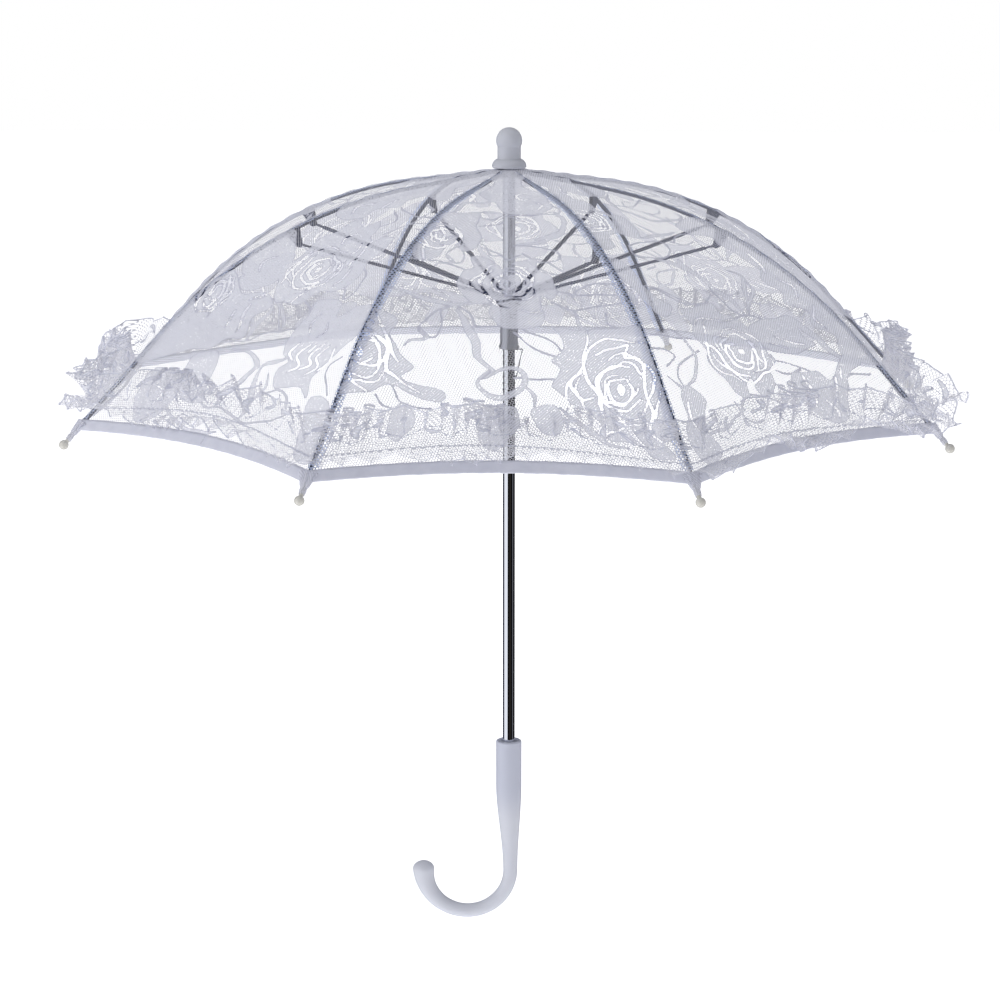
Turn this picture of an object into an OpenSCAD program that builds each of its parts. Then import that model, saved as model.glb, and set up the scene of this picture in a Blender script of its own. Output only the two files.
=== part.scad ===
// A child's lace parasol, standing open on its shaft.
// +Z runs up the shaft to the finial and the hook of the handle points to -X.
// The origin is on the shaft's axis, at the mouth of the handle.
// Each rib lies in a plane through the shaft's axis. The rib and its stretcher have equal arms, and
// both turn on the same radius, so the runner drops twice as far as the rivets of the brackets do.

/* [Shaft] */
// Outer diameter of the steel tube
shaft_d = 8; // [6:0.5:12]
// Wall of the steel tube
shaft_wall = 0.5; // [0.4:0.1:0.8]
// Height of the crown's wire ring above the handle's mouth
crown_z = 383; // [320:1:460]
// Depth of the tube inside the handle
shaft_in = 42; // [30:1:50]
// Depth of the tube inside the finial
shaft_top_in = 12; // [8:1:16]

/* [Handle] */
// Diameter at the mouth
handle_d = 17.2; // [14:0.2:22]
// Length of the straight grip above the hook
grip_len = 91.5; // [85:0.5:120]
// Diameter of the thin part of the hook
hook_d = 9.4; // [8:0.2:12]
// Bend radius of the hook's centre line
hook_r = 29.5; // [24:0.5:40]
// Diameter of the knob at the hook's end
knob_d = 14.8; // [12:0.2:18]

/* [Finial] */
// Diameter of the ball
finial_ball_d = 17; // [13:0.5:22]
// Diameter of the neck under the ball
finial_neck_d = 15.2; // [12.6:0.2:18]
// Diameter of the bell at the bottom
finial_bell_d = 22.4; // [20:0.2:28]
// Height of the whole finial
finial_h = 25.9; // [22:0.1:34]

/* [Ribs] */
// Length of the straight inner stretch of a rib
rib_in_len = 60; // [40:1:80]
// Slope of the inner stretch, in degrees
rib_in_a = 8; // [5:0.5:12]
// Bend radius of the middle stretch
rib_bend_r = 290; // [230:5:360]
// Slope of the outer stretch, in degrees
rib_out_a = 46; // [40:0.5:50]
// Length of the straight outer stretch, to the corner of the hem
rib_out_len = 79; // [60:1:100]
// Width of the rib channel
rib_w = 1.8; // [1.5:0.1:3]
// Depth of the rib channel
rib_h = 2; // [1.6:0.1:2.4]
// Sheet thickness of ribs, stretchers and brackets
sheet_t = 0.4; // [0.3:0.05:0.5]

/* [Stretchers] */
// Distance along the rib from its eye to the bracket
bracket_s = 144; // [120:1:170]
// Distance of the bracket's rivet under the middle of the rib
bracket_drop = 9.8; // [7:0.1:14]
// Width of the stretcher channel
stretcher_w = 1.8; // [1.5:0.1:3]
// Diameter of the bracket's rivet
rivet_d = 1.6; // [1.2:0.1:2]

/* [Crown and runner] */
// Radius of the wire rings, which the eyes of the ribs and stretchers turn on
ring_r = 7; // [6.5:0.1:9]
// Diameter of the ring wire
wire_d = 1; // [0.8:0.1:1.2]
// Outer diameter of the runner's sleeve
sleeve_d = 11.7; // [10.5:0.1:14]
// Length of the runner under its ring
runner_len = 34.5; // [28:0.5:45]
// How far the catch stands out from the tube
catch_out = 5; // [3.5:0.1:6]
// Height of the catch's nose
catch_h = 18; // [12:0.5:24]

/* [Canopy] */
// How far the lace hollows in at the middle of a gore's hem
gore_sag = 7; // [3:0.5:12]
// How much shorter the lace is at the middle of the hem than at its corners
hem_rise = 13.8; // [6:0.2:22]
// Width of the hem's binding
hem_w = 8; // [5:0.5:12]
// Thickness of the lace
lace_t = 0.5; // [0.4:0.1:0.7]
// Distance of the ruffle's stitch line from the edge of the hem
ruffle_s = 15; // [13:0.5:24]
// Radius that the ruffle's upper edge reaches
ruffle_r = 296; // [250:1:345]
// Diameter of the ball on a rib's end
tip_d = 6; // [4.5:0.1:7]

/* [Fits] */
// Radial clearance of the runner on the tube
run_fit = 0.08; // [0.05:0.01:0.1]
// Radial clearance of an eye on its ring or rivet
eye_fit = 0.06; // [0.04:0.01:0.09]
// Radial clearance of a glued or pinned fit
glue_fit = 0.05; // [0.02:0.01:0.1]
// Gap between an eye and the sides of its slot
slot_gap = 0.15; // [0.1:0.05:0.3]
// Gap between the lace and the metal under it
lace_gap = 0.5; // [0.4:0.1:0.8]

/* [Hidden] */
ribs = 8;
step = 360 / ribs;
half = step / 2;

function each_name(stem) = [for (i = [1:ribs]) str(stem, "_", i)];

// Colours
steel = [0.62, 0.63, 0.66];
dark_steel = [0.33, 0.35, 0.42];
milky = [0.87, 0.87, 0.92];
bead = [0.80, 0.79, 0.77];
lace = [0.93, 0.93, 0.97];
lace_edge = [0.84, 0.85, 0.93];

// Rib line: heights are counted from the crown ring, and s is the distance along it from the eye.
arc_len = rib_bend_r * (rib_out_a - rib_in_a) * PI / 180;
rib_len = rib_in_len + arc_len + rib_out_len;
arc_c = [ring_r + rib_in_len * cos(rib_in_a) - rib_bend_r * sin(rib_in_a),
         -rib_in_len * sin(rib_in_a) - rib_bend_r * cos(rib_in_a)];

function slope(s) = s < rib_in_len ? rib_in_a
    : min(rib_out_a, rib_in_a + (s - rib_in_len) / rib_bend_r * 180 / PI);
function on_arc(a) = arc_c + rib_bend_r * [sin(a), cos(a)];
function rib_point(s) =
    s < rib_in_len ? [ring_r, 0] + s * [cos(rib_in_a), -sin(rib_in_a)]
    : on_arc(slope(s)) + max(0, s - rib_in_len - arc_len) * [cos(rib_out_a), -sin(rib_out_a)];
function off_rib(s, up) = rib_point(s) + up * [sin(slope(s)), cos(slope(s))];

// Linkage
rivet_at = off_rib(bracket_s, -bracket_drop);
arm = norm(rivet_at - [ring_r, 0]);
arm_a = atan2(-rivet_at[1], rivet_at[0] - ring_r);
runner_z = crown_z + 2 * rivet_at[1];
runner_bottom = runner_z - runner_len;

// Small sizes that follow the others
shaft_r = shaft_d / 2;
bore_r = shaft_r - shaft_wall;
wire_r = wire_d / 2;
eye_t = 0.9;                                  // thickness of a flattened eye
eye_hole_r = wire_r + eye_fit + eye_t * eye_t / (8 * ring_r);
eye_wall = 0.7;
eye_r = eye_hole_r + eye_wall;
eye_neck = 8;                                 // from the eye to where the channel begins
notch_up = wire_r + 0.4;                      // material over the ring
notch_down = 3.5;                             // material under the ring
notch_r = ring_r + 1.6;
slot_w = eye_t + 2 * slot_gap;
slot_in_r = ring_r - eye_r - slot_gap;
groove_r = wire_r + glue_fit;
pin_r = 0.6;                                  // cross pins of crown and stop
stop_z = runner_z + notch_up + pin_r + slot_gap;
finial_z = crown_z + rib_h / 2 + lace_gap + lace_t + 0.3;
lace_up = rib_h / 2 + lace_gap;               // inner face of the lace over the rib's middle
washer_r = finial_bell_d / 2 - 3;
washer_t = 0.8;
rivet_r = rivet_d / 2;
rivet_eye_r = rivet_r + eye_fit;
ear_t = 0.5;
ear_in = rib_w / 2 + glue_fit;                // inner face of a bracket's ear
ear_len = 10;
pin_end = 0.6;                                // radius of the wire at the rib's outer end
stem_r = 1.35;
stem_in = 3.5;                                // how far a tip's stem reaches back over the wire
weld = 0.1;                                   // overlap where two stretches of one sheet join
tip_s = rib_len + 11.5;                       // centre of the ball along the rib line
fine = 96;
small = 32;

module in_rib_plane(i)
    translate([0, 0, crown_z])
        rotate([0, 0, half + step * (i - 1)])
            rotate([90, 0, 0])
                children();

// Side view of the rib between two offsets from its line, from s0 to s1
module rib_side(high, low, s0, s1) {
    bends = 40;
    stops = concat([s0], [for (k = [0:bends]) rib_in_len + arc_len * k / bends], [s1]);
    polygon(concat(
        [for (s = stops) off_rib(s, low)],
        [for (k = [len(stops) - 1:-1:0]) off_rib(stops[k], high)]));
}

// Flattened end of a channel: a round eye and a tongue that runs on under the channel's web
module eye_plate(hole_r, wall)
    difference() {
        union() {
            cylinder(r = hole_r + wall, h = eye_t, center = true, $fn = small);
            translate([0, -rib_h / 2 + sheet_t - weld, -eye_t / 2])
                cube([eye_neck + 4, rib_h - 2 * sheet_t + 2 * weld, eye_t]);
        }
        cylinder(r = hole_r, h = eye_t + 1, center = true, $fn = small);
    }

module rib(i)
    color(dark_steel)
        in_rib_plane(i) {
            difference() {
                linear_extrude(rib_w, center = true)
                    rib_side(rib_h / 2, -rib_h / 2, eye_neck, rib_len - stem_in);
                linear_extrude(rib_w - 2 * sheet_t, center = true)
                    rib_side(rib_h / 2 - sheet_t, -rib_h, eye_neck - 1, rib_len - stem_in + 1);
            }
            translate([ring_r, 0, 0])
                rotate([0, 0, -rib_in_a])
                    eye_plate(eye_hole_r, eye_wall);
            rib_end_wire();
        }

module rib_end_wire()
    translate([rib_point(rib_len)[0], rib_point(rib_len)[1], 0])
        rotate([0, 0, -rib_out_a])
            translate([-3 * stem_in, 0, 0])
                rotate([0, 90, 0])
                    cylinder(r = pin_end, h = 5 * stem_in, $fn = small);

module tip(i)
    color(bead)
        in_rib_plane(i)
            translate([rib_point(tip_s)[0], rib_point(tip_s)[1], 0])
                rotate([0, 0, -rib_out_a])
                    rotate([0, -90, 0])
                        difference() {
                            union() {
                                sphere(r = tip_d / 2, $fn = small);
                                cylinder(r = stem_r, h = tip_s - rib_len + stem_in - 0.1, $fn = small);
                            }
                            translate([0, 0, tip_s - rib_len - 2 * stem_in - 0.3])
                                cylinder(r = pin_end + glue_fit, h = 4 * stem_in, $fn = small);
                        }

// Side view of a bracket's ear: a triangle from the rib down to the rivet.
module ear_side() {
    r = rivet_r + 1.2;
    polygon([[-ear_len / 2, rib_h / 2 - 0.2], [ear_len / 2, rib_h / 2 - 0.2], [r, -bracket_drop], [-r, -bracket_drop]]);
    translate([0, -bracket_drop])
        circle(r = r, $fn = small);
}

module bracket(i)
    color(dark_steel)
        in_rib_plane(i)
            translate([rib_point(bracket_s)[0], rib_point(bracket_s)[1], 0])
                rotate([0, 0, -slope(bracket_s)]) {
                    difference() {
                        union() {
                            for (side = [-1, 1])
                                translate([0, 0, side * (ear_in + ear_t / 2)])
                                    linear_extrude(ear_t, center = true)
                                        ear_side();
                            translate([-ear_len / 2 + 1, -rib_h / 2 - ear_t - 0.3, -ear_in - ear_t / 2])
                                cube([ear_len - 2, ear_t, 2 * ear_in + ear_t]);
                        }
                        translate([0, -bracket_drop, 0])
                            cylinder(r = rivet_r + glue_fit, h = 10, center = true, $fn = small);
                    }
                    translate([0, -bracket_drop, 0])
                        rivet();
                }

module rivet() {
    head = 0.5;
    grip = ear_in + ear_t;
    cylinder(r = rivet_r, h = 2 * grip + head, center = true, $fn = small);
    for (side = [-1, 1])
        translate([0, 0, side * (grip + head / 2 + 0.02)])
            cylinder(r = rivet_r + 0.7, h = head, center = true, $fn = small);
}

module stretcher(i)
    color(dark_steel)
        in_rib_plane(i)
            translate([ring_r, runner_z - crown_z, 0])
                rotate([0, 0, arm_a]) {
                    eye_plate(eye_hole_r, eye_wall);
                    translate([arm, 0, 0])
                        rotate([0, 0, 180])
                            eye_plate(rivet_eye_r, eye_wall + 0.3);
                    difference() {
                        translate([eye_neck, -rib_h / 2, -stretcher_w / 2])
                            cube([arm - 2 * eye_neck, rib_h, stretcher_w]);
                        translate([eye_neck - 1, -rib_h / 2 + sheet_t, -stretcher_w / 2 + sheet_t])
                            cube([arm, rib_h, stretcher_w - 2 * sheet_t]);
                    }
                }

module wire_ring(z)
    color(steel)
        translate([0, 0, z])
            rotate_extrude($fn = fine)
                translate([ring_r, 0])
                    circle(r = wire_r, $fn = small);

module collar_slots()
    for (i = [1:ribs])
        rotate([0, 0, half + step * (i - 1)])
            translate([slot_in_r, -slot_w / 2, -notch_down - 1])
                cube([notch_r, slot_w, notch_up + notch_down + 2]);

// Slotted collar with a round groove for the wire ring
module slotted_collar()
    difference() {
        translate([0, 0, -notch_down])
            cylinder(r = notch_r, h = notch_up + notch_down, $fn = fine);
        rotate_extrude($fn = fine)
            translate([ring_r, 0])
                circle(r = groove_r, $fn = small);
        collar_slots();
    }

module cross_pin(z, reach)
    translate([0, 0, z])
        rotate([90, 0, 0])
            cylinder(r = pin_r, h = 2 * reach, center = true, $fn = small);

module cross_hole(z, reach)
    translate([0, 0, z])
        rotate([90, 0, 0])
            cylinder(r = pin_r + glue_fit, h = 2 * reach, center = true, $fn = small);

crown_pin_z = crown_z - notch_down + pin_r + 0.4;

module crown_notch()
    color(steel)
        difference() {
            translate([0, 0, crown_z])
                slotted_collar();
            translate([0, 0, crown_z - notch_down - 1])
                cylinder(r = shaft_r + glue_fit, h = notch_down + notch_up + 2, $fn = fine);
            cross_hole(crown_pin_z, notch_r + 1);
        }

module crown_ring()
    wire_ring(crown_z);

module crown_pin()
    color(steel)
        cross_pin(crown_pin_z, notch_r - 0.2);

module runner()
    color(steel)
        difference() {
            union() {
                translate([0, 0, runner_z])
                    slotted_collar();
                translate([0, 0, runner_bottom])
                    cylinder(d = sleeve_d, h = runner_len - notch_down, $fn = fine);
                translate([0, 0, runner_z - notch_down - 4])
                    cylinder(d1 = sleeve_d, d2 = 2 * notch_r, h = 4, $fn = fine);
                translate([0, 0, runner_bottom])
                    cylinder(d = sleeve_d + 1.2, h = 2.4, $fn = fine);
            }
            translate([0, 0, runner_bottom - 1])
                cylinder(r = shaft_r + run_fit, h = runner_len + 5, $fn = fine);
        }

module runner_ring()
    wire_ring(runner_z);

module stop_pin()
    color(steel)
        cross_pin(stop_z, shaft_r + 1.6);

// Catch: a strip of spring steel that comes out of the tube through a slot, under the runner.
catch_top = runner_bottom - 0.15;
catch_w = 2.2;
catch_t = 0.6;
catch_root = catch_top - catch_h - 10;        // the strip bends about this height
slot_top = catch_top + 1.2;
slot_bottom = catch_top - catch_h - 3;

module catch_spring() {
    x_root = bore_r - 2.2;
    x_knee = shaft_r + 1.3;
    x_nose = shaft_r + catch_out;
    z_knee = catch_top - catch_h;
    color(steel)
        rotate([90, 0, 0])
            linear_extrude(catch_w, center = true)
                polygon([
                    [x_root, catch_root - 8], [x_root + catch_t, catch_root - 8],
                    [x_root + catch_t, z_knee - 2.5], [x_knee, z_knee - 0.3],
                    [x_nose, catch_top - catch_t], [x_nose, catch_top],
                    [x_root + 1.5, catch_top], [x_root + 1.5, catch_top - catch_t],
                    [x_nose - catch_t, catch_top - catch_t], [x_knee - catch_t, z_knee + 0.4],
                    [x_root, z_knee - 1.8]]);
}

module shaft()
    color(steel)
        difference() {
            translate([0, 0, -shaft_in])
                cylinder(r = shaft_r, h = shaft_in + finial_z + shaft_top_in, $fn = fine);
            translate([0, 0, -shaft_in - 1])
                cylinder(r = bore_r, h = shaft_in + finial_z + shaft_top_in + 2, $fn = fine);
            translate([0, -catch_w / 2 - 0.2, slot_bottom])
                cube([shaft_d, catch_w + 0.4, slot_top - slot_bottom]);
            cross_hole(crown_pin_z, shaft_d);
            cross_hole(stop_z, shaft_d);
        }

// Ball, neck and rounded shoulder in one turned shape, with a blind bore for the tube
module finial()
    color(milky)
        translate([0, 0, finial_z])
            difference() {
                rotate_extrude($fn = fine)
                    finial_half();
                translate([0, 0, -1])
                    cylinder(r = shaft_r + glue_fit, h = shaft_top_in + 1.3, $fn = fine);
                translate([0, 0, -1])
                    cylinder(r = washer_r + 0.2, h = 1 + washer_t + 0.1, $fn = fine);
            }

module finial_half() {
    ball_r = finial_ball_d / 2;
    bell_r = finial_bell_d / 2;
    neck_r = finial_neck_d / 2;
    neck_z = finial_h * 0.23;
    rim = 0.8;
    round = neck_z - rim;
    intersection() {
        union() {
            translate([0, finial_h - ball_r])
                circle(r = ball_r, $fn = 64);
            square([neck_r, finial_h - ball_r]);
            square([bell_r, rim]);
            square([max(neck_r, bell_r - round), neck_z]);
            translate([bell_r - round, rim])
                circle(r = round, $fn = 64);
        }
        square([2 * bell_r, finial_h]);
    }
}

module top_washer()
    color(milky)
        translate([0, 0, finial_z])
            difference() {
                cylinder(r = washer_r, h = washer_t, $fn = fine);
                translate([0, 0, -1])
                    cylinder(r = shaft_r + glue_fit, h = washer_t + 2, $fn = fine);
            }

// Handle: round sections carried down the grip and round the hook to its knob
function ease(t) = let (u = min(1, max(0, t))) u * u * (3 - 2 * u);
function grip_ring(t) = [hook_shift * ease((t - 0.33) / 0.67), -grip_len * t, 0,
    handle_d + (hook_d + 0.3 - handle_d) * ease((t - 0.33) / 0.67)];
function hook_ring(b) = [hook_x + hook_r * cos(180 * b), -grip_len - hook_r * sin(180 * b), 180 * b,
    hook_d + (b < 0.45 ? 0.3 * (1 - b / 0.45) : (knob_d - hook_d) * pow((b - 0.45) / 0.55, 2.2))];
function knob_ring(q) = [hook_x - hook_r, -grip_len + 0.385 * knob_d * sin(q), 180, knob_d * cos(q)];
hook_shift = 1.1;
hook_x = hook_shift - hook_r;
handle_rings = concat(
    [for (k = [0:11]) grip_ring(k / 12)],
    [for (k = [0:24]) hook_ring(k / 24)],
    [for (k = [1:6]) knob_ring(k * 14.5)]);
handle_sides = 28;

// One section: centre x and z, how far the path has turned, and the diameter
function ring_points(g) = [for (k = [0:handle_sides - 1])
    let (p = g[3] / 2 * cos(360 * k / handle_sides), q = g[3] / 2 * sin(360 * k / handle_sides))
    [g[0] + p * cos(g[2]), q, g[1] - p * sin(g[2])]];

function tube_faces(rings, sides) = concat(
    [[for (k = [sides - 1:-1:0]) k]],
    [for (j = [0:rings - 2], k = [0:sides - 1])
        [j * sides + k, j * sides + (k + 1) % sides, (j + 1) * sides + (k + 1) % sides, (j + 1) * sides + k]],
    [[for (k = [0:sides - 1]) (rings - 1) * sides + k]]);

module handle()
    color(milky)
        difference() {
            polyhedron(
                points = [for (g = handle_rings) each ring_points(g)],
                faces = tube_faces(len(handle_rings), handle_sides),
                convexity = 6);
            translate([0, 0, -shaft_in - 0.3])
                cylinder(r = shaft_r + glue_fit, h = shaft_in + 1.3, $fn = fine);
        }

// Canopy: v runs from -1 to 1 across a gore, between its two ribs.
seam_gap = 0.2;
function hem_s(v) = rib_len - hem_rise * (1 - v * v);
function lace_point(s, v, up) =
    let (a = slope(s), p = rib_point(s), lift = up - gore_sag * (1 - v * v) * s / rib_len)
    [p[0] * cos(half) + lift * sin(a), v * (p[0] * sin(half) - seam_gap), p[1] + lift * cos(a)];

// Closed sheet between two faces: rows run outwards and columns run across.
module lace_sheet(s_in, s_cut, rows, cols, low, high) {
    n = (rows + 1) * (cols + 1);
    function at(j, k) = j * (cols + 1) + k;
    function s_of(j, v) = s_in(v) + (hem_s(v) - s_cut - s_in(v)) * j / rows;
    pts = [for (up = [low, high], j = [0:rows], k = [0:cols])
        let (v = 2 * k / cols - 1) lace_point(s_of(j, v), v, up)];
    under = [for (j = [0:rows - 1], k = [0:cols - 1], f = [
        [at(j, k), at(j, k + 1), at(j + 1, k + 1)], [at(j, k), at(j + 1, k + 1), at(j + 1, k)]]) f];
    over = [for (f = under) [n + f[2], n + f[1], n + f[0]]];
    rim = concat(
        [for (k = [0:cols - 1]) [at(0, k), at(0, k + 1)]],
        [for (j = [0:rows - 1]) [at(j, cols), at(j + 1, cols)]],
        [for (k = [cols:-1:1]) [at(rows, k), at(rows, k - 1)]],
        [for (j = [rows:-1:1]) [at(j, 0), at(j - 1, 0)]]);
    walls = [for (e = rim, f = [[e[1], e[0], n + e[0]], [e[1], n + e[0], n + e[1]]]) f];
    polyhedron(points = pts, faces = concat(under, over, walls), convexity = 4);
}

module in_gore(i)
    translate([0, 0, crown_z])
        rotate([0, 0, step * i])
            children();

module gore(i)
    in_gore(i) {
        color(lace)
            lace_sheet(function(v) -1, hem_w + 0.2, 16, 8, lace_up, lace_up + lace_t);
        color(lace_edge)
            lace_sheet(function(v) hem_s(v) - hem_w, 0, 1, 12, lace_up, lace_up + 2 * lace_t);
    }

// Ruffle: a band with two flaps, which stand out from the stitch line up and down the canopy.
ruffle_up = 30;                               // height of the upper edge over the middle of the hem
ruffle_t = 1;
ruffle_v = 0.96;
lace_top = lace_up + 2 * lace_t + 0.3;        // clear of the binding
function outward(v) = [cos(half * v), sin(half * v), 0];
function up_flap(v) =
    let (foot = lace_point(hem_s(v) - ruffle_s, v, lace_top + 0.4),
        edge = ruffle_r * outward(v) + [0, 0, lace_point(hem_s(0), 0, 0)[2] + ruffle_up])
    [foot, foot + 2 * ruffle_t * outward(v), edge - [0, 0, ruffle_t], edge,
     edge + [0, 0, ruffle_t] - outward(v), foot + [0, 0, 2 * ruffle_t]];
function down_flap(v) =
    let (foot = lace_point(hem_s(v) - ruffle_s, v, lace_top + 0.4),
        hem = lace_point(hem_s(v), v, lace_top))
    [foot, hem, hem + 7 * outward(v) - [0, 0, 3], hem + 8 * outward(v) - [0, 0, 2],
     foot + 2 * ruffle_t * outward(v)];

module band(rings, sides)
    polyhedron(points = [for (g = rings) each g], faces = tube_faces(len(rings), sides), convexity = 4);

module ruffle(i)
    color(lace_edge)
        in_gore(i) {
            cols = 12;
            spots = [for (k = [0:cols]) ruffle_v * (2 * k / cols - 1)];
            union() {
                band([for (v = spots) up_flap(v)], 6);
                band([for (v = spots) down_flap(v)], 5);
            }
        }

shaft();
handle();
finial();
top_washer();
crown_notch();
crown_ring();
crown_pin();
runner();
runner_ring();
stop_pin();
catch_spring();
for (i = [1:ribs]) {
    rib(i);
    bracket(i);
    stretcher(i);
    tip(i);
    gore(i);
    ruffle(i);
}
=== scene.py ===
import math

import bpy
import numpy as np
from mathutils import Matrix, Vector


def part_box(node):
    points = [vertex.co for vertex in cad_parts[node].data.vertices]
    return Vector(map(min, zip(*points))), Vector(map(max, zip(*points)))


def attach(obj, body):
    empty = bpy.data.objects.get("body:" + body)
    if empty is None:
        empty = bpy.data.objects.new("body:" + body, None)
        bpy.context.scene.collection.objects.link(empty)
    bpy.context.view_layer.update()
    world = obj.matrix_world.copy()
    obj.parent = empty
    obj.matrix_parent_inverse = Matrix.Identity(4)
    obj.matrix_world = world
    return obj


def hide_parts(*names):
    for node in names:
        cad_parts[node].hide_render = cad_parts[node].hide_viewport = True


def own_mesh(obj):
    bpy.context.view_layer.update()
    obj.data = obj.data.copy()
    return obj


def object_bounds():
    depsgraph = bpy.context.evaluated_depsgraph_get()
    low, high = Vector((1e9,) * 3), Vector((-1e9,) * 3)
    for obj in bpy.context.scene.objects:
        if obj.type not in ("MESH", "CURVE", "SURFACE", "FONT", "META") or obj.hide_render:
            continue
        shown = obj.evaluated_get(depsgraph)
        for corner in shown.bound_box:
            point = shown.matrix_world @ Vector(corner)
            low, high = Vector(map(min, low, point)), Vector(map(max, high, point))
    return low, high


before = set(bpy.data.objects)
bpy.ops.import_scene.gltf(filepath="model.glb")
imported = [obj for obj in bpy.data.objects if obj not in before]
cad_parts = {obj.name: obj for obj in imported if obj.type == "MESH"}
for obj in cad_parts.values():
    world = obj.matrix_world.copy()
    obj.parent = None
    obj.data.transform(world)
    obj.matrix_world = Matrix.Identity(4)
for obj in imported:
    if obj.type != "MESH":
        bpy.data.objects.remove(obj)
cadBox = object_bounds()
mm = 0.001
rng = np.random.default_rng(18)
print("frame loaded:", len(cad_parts), "nodes")

camera = {"away": 1.916, "height": 0.579, "side": -0.0059, "pitch": 12.18, "yaw": 1.27, "lens": 106.6}


def aimCamera():
    data = bpy.data.cameras.new("camera")
    data.lens = camera["lens"]
    data.sensor_width = 36
    data.clip_end = 50
    eye = bpy.data.objects.new("camera", data)
    bpy.context.scene.collection.objects.link(eye)
    yaw = math.radians(camera["yaw"])
    x, y = camera["side"], -camera["away"]
    across = math.cos(yaw) * x - math.sin(yaw) * y
    away = math.sin(yaw) * x + math.cos(yaw) * y
    eye.location = (across, away, camera["height"])
    eye.rotation_euler = (math.radians(90 - camera["pitch"]), 0, yaw)
    bpy.context.scene.camera = eye


aimCamera()


def middle(node):
    low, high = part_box(node)
    return np.array((low + high) / 2) / mm


# ---- shape of the canopy, in millimetres from the mouth of the handle

canopy = {
    "ribs": 8,
    "inLen": 60,  # straight stretch from the crown ring
    "inSlope": math.radians(8),
    "bendR": 290,
    "outSlope": math.radians(46),
    "outLen": 79,
    "sag": 7,  # how far a gore hollows in at the middle of its hem
    "hemRise": 11.5,  # the hem's middle is this much nearer the crown than its corners
    "seamGap": 0.2,
    "clothUp": 1.75,  # from the middle of a rib up to the lace
    "grid": 1.0,  # side of a triangle of lace
    "start": -2.5,  # the lace begins inside the finial's shoulder
}
crownZ = middle("crown_ring")[2]
ringR = (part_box("crown_ring")[1].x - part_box("crown_ring")[0].x) / 2 / mm - 0.5
halfStep = math.pi / canopy["ribs"]
arcLen = canopy["bendR"] * (canopy["outSlope"] - canopy["inSlope"])
ribLen = canopy["inLen"] + arcLen + canopy["outLen"]


def ribLine(s):
    # A rib leaves the crown ring straight at inSlope, bends over a circle of radius bendR and ends
    # straight at outSlope. Gives the radius, the height and the slope at the distance s along it.
    c = canopy
    slope = np.clip(c["inSlope"] + (s - c["inLen"]) / c["bendR"], c["inSlope"], c["outSlope"])
    arcR = ringR + c["inLen"] * np.cos(c["inSlope"]) - c["bendR"] * np.sin(c["inSlope"])
    arcZ = -c["inLen"] * np.sin(c["inSlope"]) - c["bendR"] * np.cos(c["inSlope"])
    past = np.maximum(0, s - c["inLen"] - arcLen)
    inner = s < c["inLen"]
    r = arcR + c["bendR"] * np.sin(slope) + past * np.cos(slope)
    z = arcZ + c["bendR"] * np.cos(slope) - past * np.sin(slope)
    r = np.where(inner, ringR + s * np.cos(c["inSlope"]), r)
    z = np.where(inner, -s * np.sin(c["inSlope"]), z)
    return r, crownZ + z, slope


def halfWidth(s):
    return ribLine(s)[0] * np.sin(halfStep) - canopy["seamGap"]


def hemLine(v):
    # the hem curves up by hemRise at the middle of a gore, as a parabola over v = -1 to 1
    return ribLen - canopy["hemRise"] * (1 - v * v)


def lacePoint(s, v, up):
    # Across a gore v runs from -1 to 1. The sheet stands up above the ribs, hollows in by
    # sag (1 - v^2) s / ribLen, and is given in the frame of the gore's own middle.
    r, z, slope = ribLine(s)
    lift = up - canopy["sag"] * (1 - v * v) * s / ribLen
    return np.stack(
        [r * np.cos(halfStep) + lift * np.sin(slope), v * halfWidth(s), z + lift * np.cos(slope)], -1
    )


def turned(points, angle):
    c, s = np.cos(angle), np.sin(angle)
    x, y, z = points[..., 0], points[..., 1], points[..., 2]
    return np.stack([c * x - s * y, s * x + c * y, z], -1)


def ribAngle(i):
    return (2 * i - 1) * halfStep


def goreAngle(i):
    return 2 * i * halfStep


# ---- drawing of the lace, flat, in millimetres: x across the gore, y down from the crown


def curveThrough(points, closed=False):
    # Catmull-Rom curve: each stretch is a cubic through its two points, and its direction at a
    # point is that of the chord between the two neighbours
    p = np.array(points, float)
    if closed:
        a, b, c, d = np.roll(p, 1, 0), p, np.roll(p, -1, 0), np.roll(p, -2, 0)
    else:
        q = np.concatenate([[2 * p[0] - p[1]], p, [2 * p[-1] - p[-2]]])
        a, b, c, d = q[:-3], q[1:-2], q[2:-1], q[3:]
    steps = 5
    t = (np.arange(steps) / steps)[None, :, None]
    a, b, c, d = a[:, None], b[:, None], c[:, None], d[:, None]
    line = 0.5 * (2 * b + (c - a) * t + (2 * a - 5 * b + 4 * c - d) * t**2 + (3 * b - a - 3 * c + d) * t**3)
    line = line.reshape(-1, 2)
    return np.concatenate([line, line[:1] if closed else p[-1:]])


def lineDistance(xy, line):
    # distance from each point to the nearest stretch of a line, and how far along the line that is
    a, d = line[:-1], line[1:] - line[:-1]
    size = np.maximum((d * d).sum(1), 1e-9)
    t = np.clip(((xy[:, None] - a) * d).sum(2) / size, 0, 1)
    away = np.sqrt(((xy[:, None] - a - t[..., None] * d) ** 2).sum(2))
    near = away.argmin(1)
    along = (near + t[np.arange(len(xy)), near]) / len(a)
    return away.min(1), along


def insideOf(xy, line):
    # a point is inside a closed line if a ray from it to the right crosses the line an odd number
    # of times
    a, b = line[:-1], line[1:]
    x, y = xy[:, :1], xy[:, 1:]
    spans = (a[:, 1] > y) != (b[:, 1] > y)
    rise = np.where(b[:, 1] == a[:, 1], 1, b[:, 1] - a[:, 1])
    cross = a[:, 0] + (y - a[:, 1]) * (b[:, 0] - a[:, 0]) / rise
    return (spans & (x < cross)).sum(1) % 2 == 1


def nearBox(xy, line, margin):
    low, high = line.min(0) - margin, line.max(0) + margin
    return np.flatnonzero(((xy > low) & (xy < high)).all(1))


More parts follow.
